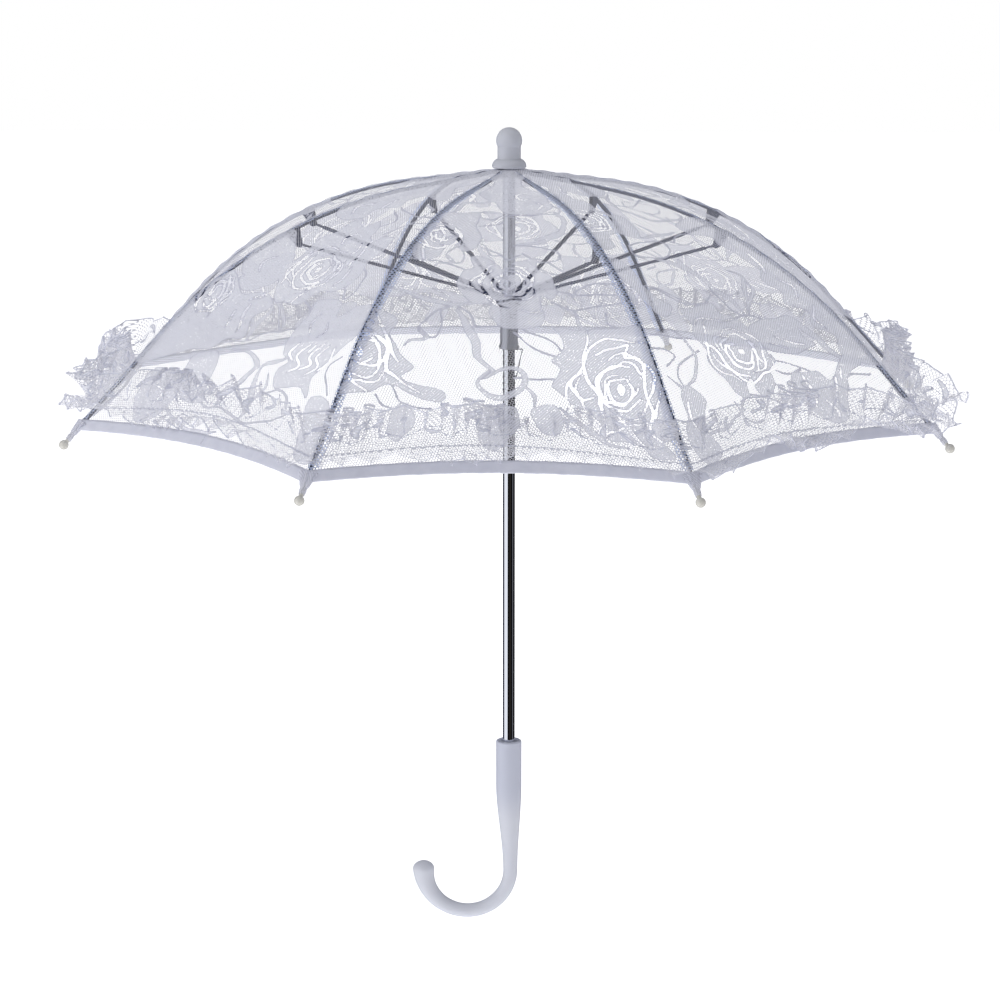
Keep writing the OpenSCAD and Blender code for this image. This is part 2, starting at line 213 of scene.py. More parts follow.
def addFill(xy, field, points):
    # clothwork inside a closed curve: the field is the distance in from its edge, and the fills join
    line = curveThrough(points, closed=True)
    at = nearBox(xy, line, 8)
    away = lineDistance(xy[at], line)[0]
    field[at] = np.maximum(field[at], np.where(insideOf(xy[at], line), away, -away))


def addVine(xy, field, width, points):
    # a strand that swells to its full width half way along
    line = curveThrough(points)
    at = nearBox(xy, line, 8)
    away, along = lineDistance(xy[at], line)
    half = width / 2 * (0.45 + 0.55 * np.sin(np.pi * along)) if width > 2 else width / 2
    field[at] = np.maximum(field[at], half - away)


def addGap(xy, gaps, width, points):
    # an openwork line through the clothwork, narrower at its ends
    line = curveThrough(points)
    at = nearBox(xy, line, 8)
    away, along = lineDistance(xy[at], line)
    half = width / 2 * (0.6 + 0.4 * np.sin(np.pi * along))
    gaps[at] = np.maximum(gaps[at], half - away)


def roseRings(x, y, rx, ry, turn):
    # openwork rings round a rose's heart: ellipses of growing size, each left open for a while and
    # begun further round than the last, so that they read as petals
    rings = []
    for k, size in enumerate(lace["rings"]):
        a = 2.1 * k + np.linspace(0, 4.4 - 0.35 * k, 12)
        wave = 1 + 0.09 * np.cos(5 * a + k)
        px, py = size * rx * wave * np.cos(a), size * ry * wave * np.sin(a)
        c, s = np.cos(turn), np.sin(turn)
        rings.append(np.stack([x + c * px - s * py, y + s * px + c * py], 1))
    return rings


# Three ways the cloth was cut. Fills and gaps are drawn in order: fills and vines, then gaps.
drawings = {
    "front": {
        "rose": [
            (3, 180, 22, 20, 0.2), (69, 264, 31, 38, 0.1), (-83, 240, 24, 28, 0.3), (-38, 132, 16, 18, 0),
        ],
        "fill": [
            [(-9, -8), (9, -8), (11, 20), (8, 34), (14, 52), (22, 62), (25, 76), (29, 90), (20, 99),
             (6, 100), (-4, 93), (-6, 80), (-14, 74), (-17, 60), (-9, 42), (-11, 20)],
            [(-36, 101), (-16, 99), (-18, 116), (-15, 128), (-17, 144), (-25, 148), (-31, 141),
             (-37, 148), (-42, 157), (-50, 159), (-56, 152), (-50, 132), (-44, 116)],
            [(-20, 153), (-8, 156), (0, 165), (7, 159), (19, 155), (20, 166), (27, 172), (31, 184),
             (29, 195), (21, 191), (24, 203), (23, 214), (13, 219), (0, 217), (-8, 207), (-7, 198),
             (-17, 198), (-25, 190), (-28, 178), (-25, 167), (-18, 165)],
            [(31, 218), (52, 221), (68, 220), (82, 222), (90, 246), (99, 270), (107, 292), (104, 300),
             (94, 303), (101, 314), (88, 312), (76, 302), (62, 298), (54, 284), (40, 272), (30, 262),
             (33, 250), (29, 243), (35, 236), (34, 226)],
            [(-80, 206), (-66, 210), (-62, 217), (-66, 226), (-60, 238), (-52, 248), (-58, 256),
             (-46, 261), (-33, 266), (-37, 273), (-54, 267), (-66, 262), (-80, 268), (-96, 268),
             (-96, 250), (-88, 228)],
            [(-12, 278), (0, 274), (9, 277), (10, 288), (3, 300), (-6, 305), (-13, 296)],
            [(18, 276), (30, 274), (36, 284), (32, 296), (21, 290)],
            [(-64, 282), (-57, 274), (-50, 281), (-53, 293), (-60, 301), (-66, 294)],
        ],
        "vine": [
            (3.2, [(-6, 74), (-14, 81), (-24, 82), (-29, 90), (-32, 100)]),
            (1.4, [(-36, 101), (-22, 98), (-6, 97)]),
            (1.4, [(-20, 104), (-8, 108), (-2, 102), (8, 106)]),
            (1.4, [(-16, 118), (-7, 115), (-2, 110)]),
            (1.4, [(2, 101), (16, 102), (28, 98)]),
            (4.2, [(30, 99), (35, 112), (34, 128), (24, 136), (8, 140)]),
            (5.0, [(18, 134), (27, 131), (33, 126)]),
            (1.5, [(6, 141), (20, 142), (31, 150), (32, 158), (22, 159), (10, 150)]),
            (1.4, [(8, 152), (2, 156), (-6, 148), (-14, 144)]),
            (1.4, [(-56, 158), (-40, 160), (-26, 165), (-18, 171)]),
            (3.4, [(-70, 187), (-56, 191), (-40, 197), (-27, 198), (-14, 197)]),
            (1.4, [(-30, 200), (-40, 206), (-49, 217), (-47, 224), (-40, 226), (-36, 218),
                   (-37, 206), (-30, 200)]),
            (2.2, [(-58, 234), (-54, 228), (-44, 226), (-49, 217)]),
            (1.4, [(31, 188), (46, 192), (66, 193)]),
            (1.4, [(29, 197), (42, 204), (70, 200)]),
            (2.4, [(42, 204), (44, 214), (50, 222), (56, 220)]),
            (1.4, [(66, 183), (52, 183), (43, 187), (41, 193)]),
            (1.4, [(60, 208), (62, 216), (70, 221)]),
            (1.4, [(-26, 200), (-20, 206), (-16, 217), (-8, 216), (2, 215)]),
            (5.4, [(-27, 203), (-22, 214), (-17, 226), (-14, 240), (-6, 249)]),
            (4.0, [(-8, 250), (-14, 258), (-9, 266), (2, 268), (12, 262), (14, 255), (8, 249),
                   (-2, 249), (-10, 255)]),
            (2.4, [(12, 258), (18, 266), (19, 274)]),
            (1.4, [(7, 222), (18, 233), (31, 240)]),
            (1.4, [(13, 220), (26, 226), (34, 236)]),
            (1.4, [(7, 255), (18, 255), (30, 256)]),
            (1.4, [(-74, 268), (-68, 276), (-60, 280)]),
            (1.4, [(-64, 262), (-60, 272), (-50, 276), (-40, 278)]),
            (1.4, [(30, 262), (40, 270), (38, 280)]),
            (3.0, [(34, 276), (46, 288), (60, 300), (74, 306)]),
        ],
        "gap": [
            (2.0, [(12, 60), (6, 66), (8, 75), (14, 73)]),
            (1.8, [(19, 80), (22, 86), (19, 92)]),
            (2.0, [(-18, 36), (-21, 50), (-26, 64)]),
            (2.0, [(8, 36), (11, 44), (15, 51)]),
            (2.2, [(-39, 122), (-37, 130), (-39, 139)]),
            (2.2, [(-30, 121), (-27, 128), (-29, 138)]),
            (2.4, [(-48, 142), (-50, 150), (-48, 158)]),
            (2.0, [(-36, 142), (-33, 148)]),
            (2.0, [(-7, 166), (-13, 176), (-12, 186), (-6, 196), (4, 201)]),
            (2.0, [(-2, 165), (8, 164), (16, 172), (17, 182), (12, 190)]),
            (1.8, [(-5, 172), (3, 169), (10, 175), (10, 184), (3, 189), (-5, 185), (-7, 178)]),
            (5.4, [(2, 178), (3, 182)]),
            (1.8, [(10, 203), (18, 205), (24, 201), (25, 193)]),
            (2.2, [(50, 222), (49, 234), (47, 248), (52, 260), (57, 272), (59, 284), (62, 297)]),
            (2.2, [(55, 240), (62, 236), (73, 234), (72, 242), (79, 244), (83, 256), (83, 268), (88, 280),
                   (86, 292), (94, 304)]),
            (2.0, [(48, 251), (42, 254), (41, 262), (46, 270), (53, 270)]),
            (2.2, [(74, 250), (64, 248), (57, 256), (57, 268), (63, 276), (74, 280), (80, 272)]),
            (2.2, [(72, 257), (64, 258), (62, 266), (66, 273), (73, 274), (76, 266), (73, 257)]),
            (6.0, [(69, 262), (69, 267)]),
            (2.0, [(66, 280), (72, 290), (82, 304)]),
            (2.2, [(-76, 208), (-70, 220), (-66, 234), (-61, 246)]),
            (2.2, [(-84, 231), (-75, 231), (-71, 239), (-74, 248), (-84, 249)]),
            (2.0, [(-88, 226), (-74, 226), (-66, 236), (-68, 250), (-62, 256), (-48, 266)]),
            (6.4, [(-83, 238), (-83, 242)]),
            (1.8, [(-90, 252), (-86, 262), (-78, 267)]),
        ],
    },
    "left": {
        "rose": [(-1, 177, 24, 24, 0), (-65, 212, 15, 22, 0.2)],
        "fill": [
            [(-9, -8), (9, -8), (12, 22), (17, 40), (8, 52), (22, 70), (26, 78), (14, 80), (2, 74), (-4, 84),
             (-2, 96), (-14, 104), (-16, 118), (-28, 124), (-40, 118), (-41, 100), (-28, 74), (-20, 46)],
            [(-16, 119), (-4, 128), (2, 118), (10, 127), (12, 138), (20, 142), (22, 136), (34, 138), (38, 152),
             (36, 166), (40, 184), (30, 194), (18, 196), (10, 208), (-2, 209), (-14, 210), (-20, 200),
             (-30, 184), (-25, 166), (-27, 150), (-20, 138)],
            [(-62, 150), (-50, 146), (-38, 160), (-30, 170), (-26, 190), (-34, 202), (-48, 206), (-58, 196),
             (-66, 176)],
            [(-78, 190), (-60, 196), (-46, 208), (-24, 204), (-14, 214), (-22, 226), (-18, 240), (-30, 244),
             (-40, 252), (-58, 258), (-80, 270), (-96, 274), (-98, 250), (-90, 220)],
            [(22, 204), (36, 201), (46, 204), (50, 214), (62, 206), (76, 204), (82, 222), (76, 236), (70, 248),
             (64, 262), (68, 276), (54, 268), (34, 272), (28, 258), (32, 252), (24, 246), (20, 232), (24, 218)],
            [(-49, 259), (-34, 254), (-27, 262), (-26, 276), (-20, 288), (-30, 294), (-42, 290), (-52, 276)],
            [(-76, 276), (-58, 274), (-46, 286), (-50, 306), (-66, 314), (-78, 298)],
            [(72, 274), (90, 276), (104, 290), (110, 318), (88, 316), (80, 298)],
        ],
        "vine": [
            (1.4, [(0, 96), (14, 104), (28, 108), (42, 110)]),
            (2.0, [(18, 90), (31, 97), (33, 110), (28, 124), (20, 134)]),
            (1.4, [(0, 102), (12, 112), (14, 120), (4, 128)]),
            (1.4, [(30, 120), (44, 118)]),
            (1.4, [(-16, 118), (-10, 128), (-12, 136)]),
            (1.5, [(36, 190), (44, 200), (48, 192), (46, 180), (38, 172)]),
            (1.5, [(12, 206), (22, 212), (28, 220)]),
            (3.6, [(-21, 250), (-6, 251), (4, 254), (8, 260), (1, 270), (-7, 280), (-8, 292)]),
            (1.5, [(7, 258), (4, 270), (-2, 280), (-6, 290)]),
            (3.4, [(8, 261), (18, 255), (30, 250)]),
            (5.0, [(13, 260), (14, 272), (20, 284), (19, 296)]),
            (3.0, [(22, 262), (26, 272), (20, 282)]),
            (2.0, [(19, 292), (24, 280), (38, 273), (50, 276), (56, 284)]),
            (2.6, [(-60, 290), (-46, 300), (-30, 309), (-6, 311), (6, 308)]),
            (1.6, [(-26, 288), (-14, 294), (0, 292), (20, 298), (42, 296), (60, 288)]),
            (1.4, [(80, 244), (72, 252), (78, 262), (86, 272)]),
        ],
        "gap": [
            (2.0, [(-12, 86), (-14, 98), (-8, 108)]),
            (2.0, [(-24, 96), (-30, 106), (-28, 116)]),
            (2.2, [(19, 140), (19, 150), (22, 162), (20, 172)]),
            (2.2, [(-20, 161), (-22, 176), (-21, 194)]),
            (2.0, [(-14, 164), (-16, 176), (-14, 190)]),
            (2.0, [(-4, 150), (-6, 142), (-2, 136)]),
            (2.0, [(12, 146), (15, 154), (13, 160)]),
            (2.2, [(-6, 167), (-11, 176), (-8, 187), (0, 191), (8, 188), (12, 178), (9, 168), (3, 164)]),
            (1.8, [(-3, 170), (-7, 177), (-4, 184), (2, 186), (7, 181), (6, 172)]),
            (5.6, [(-1, 175), (-1, 179)]),
            (2.4, [(9, 184), (6, 193), (4, 200), (1, 208)]),
            (2.0, [(15, 166), (18, 178), (16, 188)]),
            (2.0, [(25, 170), (28, 182), (24, 190)]),
            (2.0, [(-44, 172), (-50, 180), (-46, 188)]),
            (2.2, [(-66, 196), (-60, 206), (-58, 220), (-60, 232)]),
            (2.2, [(-72, 206), (-66, 202), (-62, 212), (-64, 224), (-70, 222)]),
            (2.6, [(-21, 201), (-28, 208), (-36, 212)]),
            (2.6, [(-32, 216), (-30, 228), (-28, 238)]),
            (2.0, [(-40, 222), (-40, 236)]),
            (2.0, [(33, 238), (30, 246), (36, 252)]),
            (2.0, [(44, 238), (38, 248), (44, 254), (38, 260)]),
            (2.0, [(50, 237), (46, 244)]),
            (2.0, [(56, 236), (50, 246), (54, 252), (46, 256)]),
            (2.0, [(62, 238), (56, 247), (62, 254), (54, 260)]),
            (2.0, [(68, 238), (70, 248), (64, 256)]),
            (1.8, [(34, 214), (32, 222), (36, 230)]),
            (1.8, [(46, 220), (50, 226), (44, 232)]),
            (1.8, [(-40, 276), (-32, 280), (-30, 288)]),
            (2.0, [(-66, 286), (-58, 290), (-60, 300)]),
        ],
    },
    "right": {
        "rose": [(-40, 112, 22, 20, 0.1), (-9, 246, 30, 28, 0), (-72, 198, 14, 22, 0)],
        "fill": [
            [(-9, -8), (9, -8), (12, 20), (16, 34), (12, 44), (18, 60), (14, 72), (4, 76), (-6, 72), (-8, 60),
             (-18, 74), (-12, 82), (-16, 96), (-12, 104), (-18, 118), (-22, 128), (-38, 134), (-44, 148),
             (-60, 146), (-48, 110), (-34, 78), (-14, 36)],
            [(-10, 106), (-5, 112), (-6, 122), (-13, 138), (-22, 136), (-28, 130), (-20, 120), (-16, 110)],
            [(-62, 160), (-52, 160), (-50, 178), (-53, 186), (-48, 198), (-42, 206), (-50, 213), (-60, 210),
             (-68, 202), (-76, 204), (-72, 184)],
            [(-38, 208), (-26, 209), (-8, 206), (-5, 216), (4, 222), (10, 234), (12, 246), (16, 256), (6, 262),
             (4, 274), (-6, 280), (-14, 276), (-14, 266), (-20, 270), (-22, 280), (-31, 276), (-36, 264),
             (-42, 250), (-38, 240), (-41, 228), (-35, 220)],
            [(-80, 268), (-70, 266), (-62, 276), (-70, 286), (-76, 300), (-72, 312), (-90, 320), (-98, 304),
             (-88, 288)],
            [(24, 132), (34, 125), (46, 126), (58, 150), (66, 176), (74, 200), (82, 226), (90, 250), (98, 276),
             (86, 272), (70, 262), (74, 250), (62, 238), (64, 226), (52, 218), (54, 208), (48, 196),
             (52, 186), (46, 172), (42, 160), (40, 148), (30, 143)],
            [(19, 270), (34, 268), (44, 270), (50, 278), (56, 274), (62, 268), (76, 262), (82, 270), (70, 276),
             (60, 284), (48, 306), (32, 306), (20, 292)],
            [(8, 230), (20, 226), (36, 226), (50, 232), (48, 244), (54, 252), (30, 254), (14, 248)],
        ],
        "vine": [
            (2.6, [(15, 74), (6, 84), (3, 96), (5, 106), (14, 120), (28, 124), (38, 122), (36, 116)]),
            (1.4, [(5, 94), (16, 98), (28, 92)]),
            (3.2, [(-12, 138), (2, 138), (18, 137)]),
            (1.6, [(-31, 146), (-20, 144), (-6, 143), (0, 150), (-4, 158), (-14, 162), (-26, 160), (-34, 154),
                   (-31, 146)]),
            (1.4, [(7, 148), (16, 141), (28, 142), (40, 148), (41, 158)]),
            (5.0, [(-20, 163), (-10, 168), (-2, 176), (3, 188), (4, 198)]),
            (5.4, [(-3, 166), (-5, 172), (0, 180)]),
            (4.4, [(4, 194), (10, 204), (14, 218)]),
            (1.5, [(2, 196), (4, 210), (10, 220)]),
            (3.2, [(28, 182), (34, 188), (30, 198), (24, 208), (18, 220)]),
            (2.8, [(34, 188), (35, 200), (28, 208), (20, 216)]),
            (1.4, [(-52, 186), (-40, 194), (-30, 204), (-20, 207)]),
            (1.4, [(-46, 188), (-34, 196), (-24, 206)]),
            (1.4, [(-30, 206), (-14, 206), (-2, 200)]),
            (1.4, [(4, 222), (14, 220), (28, 228)]),
            (5.6, [(28, 227), (46, 229), (54, 240), (62, 254), (68, 266)]),
            (1.4, [(-78, 226), (-62, 229), (-44, 233)]),
            (2.8, [(-58, 222), (-52, 230), (-50, 242), (-54, 252), (-64, 262), (-76, 268)]),
            (1.6, [(-44, 242), (-60, 246), (-74, 256), (-76, 266)]),
            (1.5, [(-84, 236), (-74, 238), (-68, 244), (-80, 250)]),
            (2.4, [(-84, 256), (-78, 266), (-74, 272)]),
            (1.5, [(-39, 280), (-38, 290), (-30, 296), (-22, 296)]),
            (1.6, [(-38, 286), (-26, 278), (-10, 280), (2, 288), (8, 280)]),
            (1.4, [(4, 272), (12, 280), (22, 284)]),
            (1.4, [(16, 256), (26, 262), (38, 268)]),
            (1.4, [(8, 262), (20, 268), (30, 266)]),
            (2.0, [(-78, 300), (-56, 296), (-38, 288)]),
            (1.6, [(60, 286), (66, 278), (84, 280)]),
        ],
        "gap": [
            (2.4, [(-16, 44), (-22, 56), (-28, 66)]),
            (2.0, [(-6, 48), (-14, 62), (-16, 72)]),
            (1.8, [(4, 58), (0, 66)]),
            (2.0, [(-34, 102), (-30, 110), (-31, 118), (-38, 124), (-48, 122)]),
            (2.0, [(-30, 96), (-23, 104), (-23, 116), (-30, 126)]),
            (2.0, [(-22, 98), (-17, 108), (-19, 116)]),
            (4.6, [(-40, 110), (-41, 115)]),
            (2.2, [(-68, 180), (-65, 190), (-66, 200), (-71, 210)]),
            (2.0, [(-34, 222), (-28, 218), (-18, 219), (-10, 222)]),
            (2.2, [(-36, 236), (-30, 240), (-28, 252), (-22, 262), (-14, 264)]),
            (2.0, [(-10, 240), (-18, 240), (-22, 248), (-16, 257), (-6, 258), (-1, 250)]),
            (2.0, [(-12, 234), (-24, 234), (-27, 244)]),
            (2.0, [(-6, 232), (2, 240), (2, 252), (-4, 262)]),
            (5.6, [(-10, 245), (-8, 247)]),
            (2.0, [(6, 258), (2, 250), (4, 240)]),
            (2.2, [(-78, 276), (-84, 286), (-82, 300)]),
            (2.2, [(54, 170), (56, 180), (54, 190)]),
            (1.8, [(60, 196), (66, 206), (64, 216)]),
            (1.8, [(72, 224), (66, 232), (70, 242)]),
            (2.2, [(30, 270), (31, 284), (28, 294)]),
            (2.0, [(56, 276), (50, 286), (46, 294)]),
            (2.0, [(38, 290), (42, 298), (40, 304)]),
            (2.0, [(64, 270), (60, 278)]),
            (1.8, [(26, 240), (36, 246), (46, 251)]),
            (1.8, [(18, 244), (30, 250)]),
        ],
    },
}
lace = {
    "netPitch": 1.7,  # bobbinet is finer still; this is as coarse as it needs to be to show
    "netTurn": 17,  # degrees
    "netYarn": -0.8,
    "net": "#bcbcc2",
    "cloth": "#d7d8e1",
    "cord": "#b9bac8",
    "cordWidth": 0.7,
    "through": 0.3,  # share of the light that the yarn lets through from behind
    "hatch": 1.1,  # period of the weft hatch
    "gapScale": 0.85,
    "rings": (0.3, 0.46, 0.62, 0.78, 0.94),
    "ringWidth": 1.5,
    "barPitch": 2.6,
    "bar": 0.9,  # width of a bar across an openwork line
}

# which drawing each gore has, if it is mirrored, and how far it was moved down before it was cut
cuts = {
    1: ("right", True, 0), 2: ("front", True, 14), 3: ("left", False, 10), 4: ("right", True, 0),
    5: ("left", False, 0), 6: ("front", False, 0), 7: ("right", False, 0), 8: ("left", True, 0),
}


def laceField(xy, gore):
    # Two fields in millimetres: how far in from the edge of the clothwork, below zero where there is
    # only net, and how far inside an openwork line, above zero only there.
    name, mirrored, down = cuts[gore]
    drawing = drawings[name]
    flat = xy * [-1 if mirrored else 1, 1] - [0, down]
    drift = [0.7 * np.sin(flat[:, 1] / 3.1 + gore) + 0.4 * np.sin(flat[:, 0] / 1.9),
             0.7 * np.sin(flat[:, 0] / 3.7 + 2 * gore) + 0.4 * np.sin(flat[:, 1] / 2.3)]
    flat = flat + np.stack(drift, 1) * 0.8
    field = np.full(len(xy), -9.0)
    for points in drawing["fill"]:
        addFill(flat, field, points)
    for width, points in drawing["vine"]:
        addVine(flat, field, width, points)
    gaps = np.full(len(xy), -9.0)
    for width, points in drawing["gap"]:
        addGap(flat, gaps, width * lace["gapScale"], points)
    for rose in drawing["rose"]:
        for points in roseRings(*rose):
            addGap(flat, gaps, lace["ringWidth"], points)
    return np.minimum(field, -gaps), np.minimum(field, gaps)


# ---- meshes


def triangleGrid(x, y):
    # points of a grid with one row for each y, and two triangles for each of its cells, whose
    # diagonals change sides like a chessboard
    xy = np.stack(np.meshgrid(x, y), -1).reshape(-1, 2)
    n, m = len(x), len(y)
    j, k = np.meshgrid(np.arange(m - 1), np.arange(n - 1), indexing="ij")
    a = (j * n + k).ravel()
    b, c, d = a + 1, a + n + 1, a + n
    even = ((j + k) % 2 == 0).ravel()[:, None]
    one = np.where(even, np.stack([a, b, c], 1), np.stack([a, b, d], 1))
    two = np.where(even, np.stack([a, c, d], 1), np.stack([b, c, d], 1))
    return xy, np.concatenate([one, two])


def splitAt(xy, tris, field, extra=None):
    # Cuts every triangle that the line field = 0 crosses, at a + (b - a) fa / (fa - fb).
    # Gives the points, the triangles where the field is above zero, and those where it is below.
    side = field[tris] > 0
    count = side.sum(1)
    crossed = (count == 1) | (count == 2)
    above, below = tris[count == 3], tris[count == 0]
    lone = np.where(count[crossed] == 1, side[crossed].argmax(1), (~side[crossed]).argmax(1))
    a, b, c = np.take_along_axis(tris[crossed], (lone[:, None] + np.arange(3)) % 3, 1).T
    edges = np.sort(np.concatenate([np.stack([a, b], 1), np.stack([a, c], 1)]), 1)
    edges, back = np.unique(edges, axis=0, return_inverse=True)
    fa, fb = field[edges[:, 0]], field[edges[:, 1]]
    t = np.clip(fa / (fa - fb), 0.03, 0.97)[:, None]
    xy = np.concatenate([xy, xy[edges[:, 0]] * (1 - t) + xy[edges[:, 1]] * t])
    field = np.concatenate([field, np.zeros(len(edges))])
    if extra is not None:
        extra = np.concatenate([extra, extra[edges[:, 0]] * (1 - t[:, 0]) + extra[edges[:, 1]] * t[:, 0]])
    ab, ac = len(xy) - len(edges) + back.reshape(2, -1)
    loneUp = count[crossed] == 1
    tip = np.stack([a, ab, ac], 1)
    base = np.concatenate([np.stack([ab, b, c], 1), np.stack([ab, c, ac], 1)])
    both = np.concatenate([loneUp, loneUp])
    above = np.concatenate([above, tip[loneUp], base[~both]])
    below = np.concatenate([below, tip[~loneUp], base[both]])
    return xy, field, above, below, extra


def usedOnly(tris, *arrays):
    used, back = np.unique(tris, return_inverse=True)
    return (back.reshape(tris.shape), *[a[used] for a in arrays])


def makePiece(name, points, faces, materials, which=None, flat=None, edge=None):
    # points in millimetres; flat is the piece's own map in millimetres of cloth, and edge a number
    # for each point that its material reads
    mesh = bpy.data.meshes.new(name)
    faces = np.asarray(faces)
    corners = faces.shape[1]
    mesh.vertices.add(len(points))
    mesh.vertices.foreach_set("co", (np.asarray(points) * mm).astype(np.float32).ravel())
    mesh.loops.add(faces.size)
    mesh.loops.foreach_set("vertex_index", faces.astype(np.int32).ravel())
    mesh.polygons.add(len(faces))
    mesh.polygons.foreach_set("loop_start", np.arange(0, faces.size, corners, dtype=np.int32))
    if which is not None:
        mesh.polygons.foreach_set("material_index", np.asarray(which, np.int32))
    mesh.polygons.foreach_set("use_smooth", np.full(len(faces), True))
    mesh.update(calc_edges=True)
    if flat is not None:
        layer = mesh.uv_layers.new(name="cloth")
        layer.data.foreach_set("uv", np.asarray(flat)[faces.ravel()].astype(np.float32).ravel())
    if edge is not None:
        attribute = mesh.attributes.new("edge", "FLOAT", "POINT")
        attribute.data.foreach_set("value", np.asarray(edge).astype(np.float32))
    for material in materials:
        mesh.materials.append(material)
    piece = bpy.data.objects.new(name, mesh)
    bpy.context.scene.collection.objects.link(piece)
    return piece


def quadGrid(rows, cols, wrap=False):
    # faces of a grid of points with cols to each row; wrap joins the last column to the first
    j, k = np.meshgrid(np.arange(rows - 1), np.arange(cols if wrap else cols - 1), indexing="ij")
    a, b = (j * cols + k).ravel(), (j * cols + (k + 1) % cols).ravel()
    return np.stack([a, b, b + cols, a + cols], 1)


# ---- finishes


def colour(text):
    # sRGB hex to linear: c / 12.92 up to 0.04045, and above it ((c + 0.055) / 1.055) to the power 2.4
    c = np.array([int(text[k : k + 2], 16) for k in (1, 3, 5)]) / 255
    return (*np.where(c <= 0.04045, c / 12.92, ((c + 0.055) / 1.055) ** 2.4), 1)


def addNode(tree, kind, settings=None, links=None):
    node = tree.nodes.new(kind)
    for key, value in (settings or {}).items():
        if isinstance(key, str) and hasattr(node, key):
            setattr(node, key, value)
        else:
            node.inputs[key].default_value = value
    for key, source in (links or {}).items():
        tree.links.new(source, node.inputs[key])
    return node


def newMaterial(name):
    material = bpy.data.materials.new(name)
    material.use_nodes = True
    material.node_tree.nodes.clear()
    return material, material.node_tree


def finishMaterial(tree, shader):
    addNode(tree, "ShaderNodeOutputMaterial", links={"Surface": shader})


def flatMap(tree, pitch):
    # the piece's own map, in periods of the pattern: the map counts millimetres of cloth
    place = addNode(tree, "ShaderNodeUVMap", {"uv_map": "cloth"})
    settings = {"operation": "SCALE", "Scale": 1 / pitch}
    return addNode(tree, "ShaderNodeVectorMath", settings, {0: place.outputs[0]}).outputs[0]


def addMath(tree, operation, first, second):
    return addNode(tree, "ShaderNodeMath", {"operation": operation}, {0: first, 1: second}).outputs[0]


def spread(tree, source, low, high):
    # brings a pattern that runs from 0 to 1 to the range from low to high
    settings = {"To Min": low, "To Max": high}
    return addNode(tree, "ShaderNodeMapRange", settings, {"Value": source}).outputs[0]


def ramp(tree, source, start, end, kind="LINEAR"):
    # 0 at start and 1 at end
    settings = {"interpolation_type": kind, "From Min": start, "From Max": end}
    return addNode(tree, "ShaderNodeMapRange", settings, {"Value": source}).outputs[0]


def blend(tree, low, high, factor):
    # one colour where the factor is 0 and the other where it is 1
    settings = {"data_type": "RGBA", "A": colour(low), "B": colour(high)}
    return addNode(tree, "ShaderNodeMix", settings, {"Factor": factor}).outputs["Result"]


def grain(tree, scale, detail):
    # noise that is fixed to the object; scale counts its cells to the metre
    place = addNode(tree, "ShaderNodeTexCoord")
    settings = {"Scale": scale, "Detail": detail}
    return addNode(tree, "ShaderNodeTexNoise", settings, {"Vector": place.outputs["Object"]}).outputs["Fac"]


def hexNet(tree, pitch, yarn):
    # hexagonal mesh: three cosines at 60 degrees add up to 3 in a hole and to less than zero along
    # the yarn. Gives 1 on the yarn; pitch is the distance between holes in millimetres.
    place = flatMap(tree, pitch)
    reach = 4 * math.pi / math.sqrt(3)
    blur = 0.25  # half width of the yarn's soft edge, in the sum's own measure
    total = None
    for angle in (0, 60, 120):
        a = math.radians(angle + lace["netTurn"])
        along = (reach * math.cos(a), reach * math.sin(a), 0)
        part = addNode(tree, "ShaderNodeVectorMath", {"operation": "DOT_PRODUCT", 1: along}, {0: place})
        wave = addNode(tree, "ShaderNodeMath", {"operation": "COSINE"}, {0: part.outputs["Value"]})
        total = wave.outputs[0] if total is None else addMath(tree, "ADD", total, wave.outputs[0])
    return ramp(tree, total, yarn + blur, yarn - blur)


def clothShader(tree, tint, through, alpha):
    # yarn that scatters the light in front and lets some from behind through, with open holes
    settings = {"Roughness": 0.85, "IOR": 1.5, "Specular IOR Level": 0.25}
    front = addNode(tree, "ShaderNodeBsdfPrincipled", settings)
    back = addNode(tree, "ShaderNodeBsdfTranslucent")
    for shader, socket in ((front, "Base Color"), (back, "Color")):
        if isinstance(tint, tuple):
            shader.inputs[socket].default_value = tint
        else:
            tree.links.new(tint, shader.inputs[socket])
    both = addNode(tree, "ShaderNodeMixShader", {0: through}, {1: front.outputs[0], 2: back.outputs[0]})
    hole = addNode(tree, "ShaderNodeBsdfTransparent")
    links = {0: alpha, 1: hole.outputs[0], 2: both.outputs[0]}
    return addNode(tree, "ShaderNodeMixShader", {}, links).outputs[0]


def bobbinet(name, tint, yarn):
    # warp-knitted polyester bobbinet: thin white yarn round open hexagons, so it reads as a grey
    # veil with the light behind it
    material, tree = newMaterial(name)
    mask = hexNet(tree, lace["netPitch"], yarn)
    finishMaterial(tree, clothShader(tree, colour(tint), lace["through"], mask))
    return material


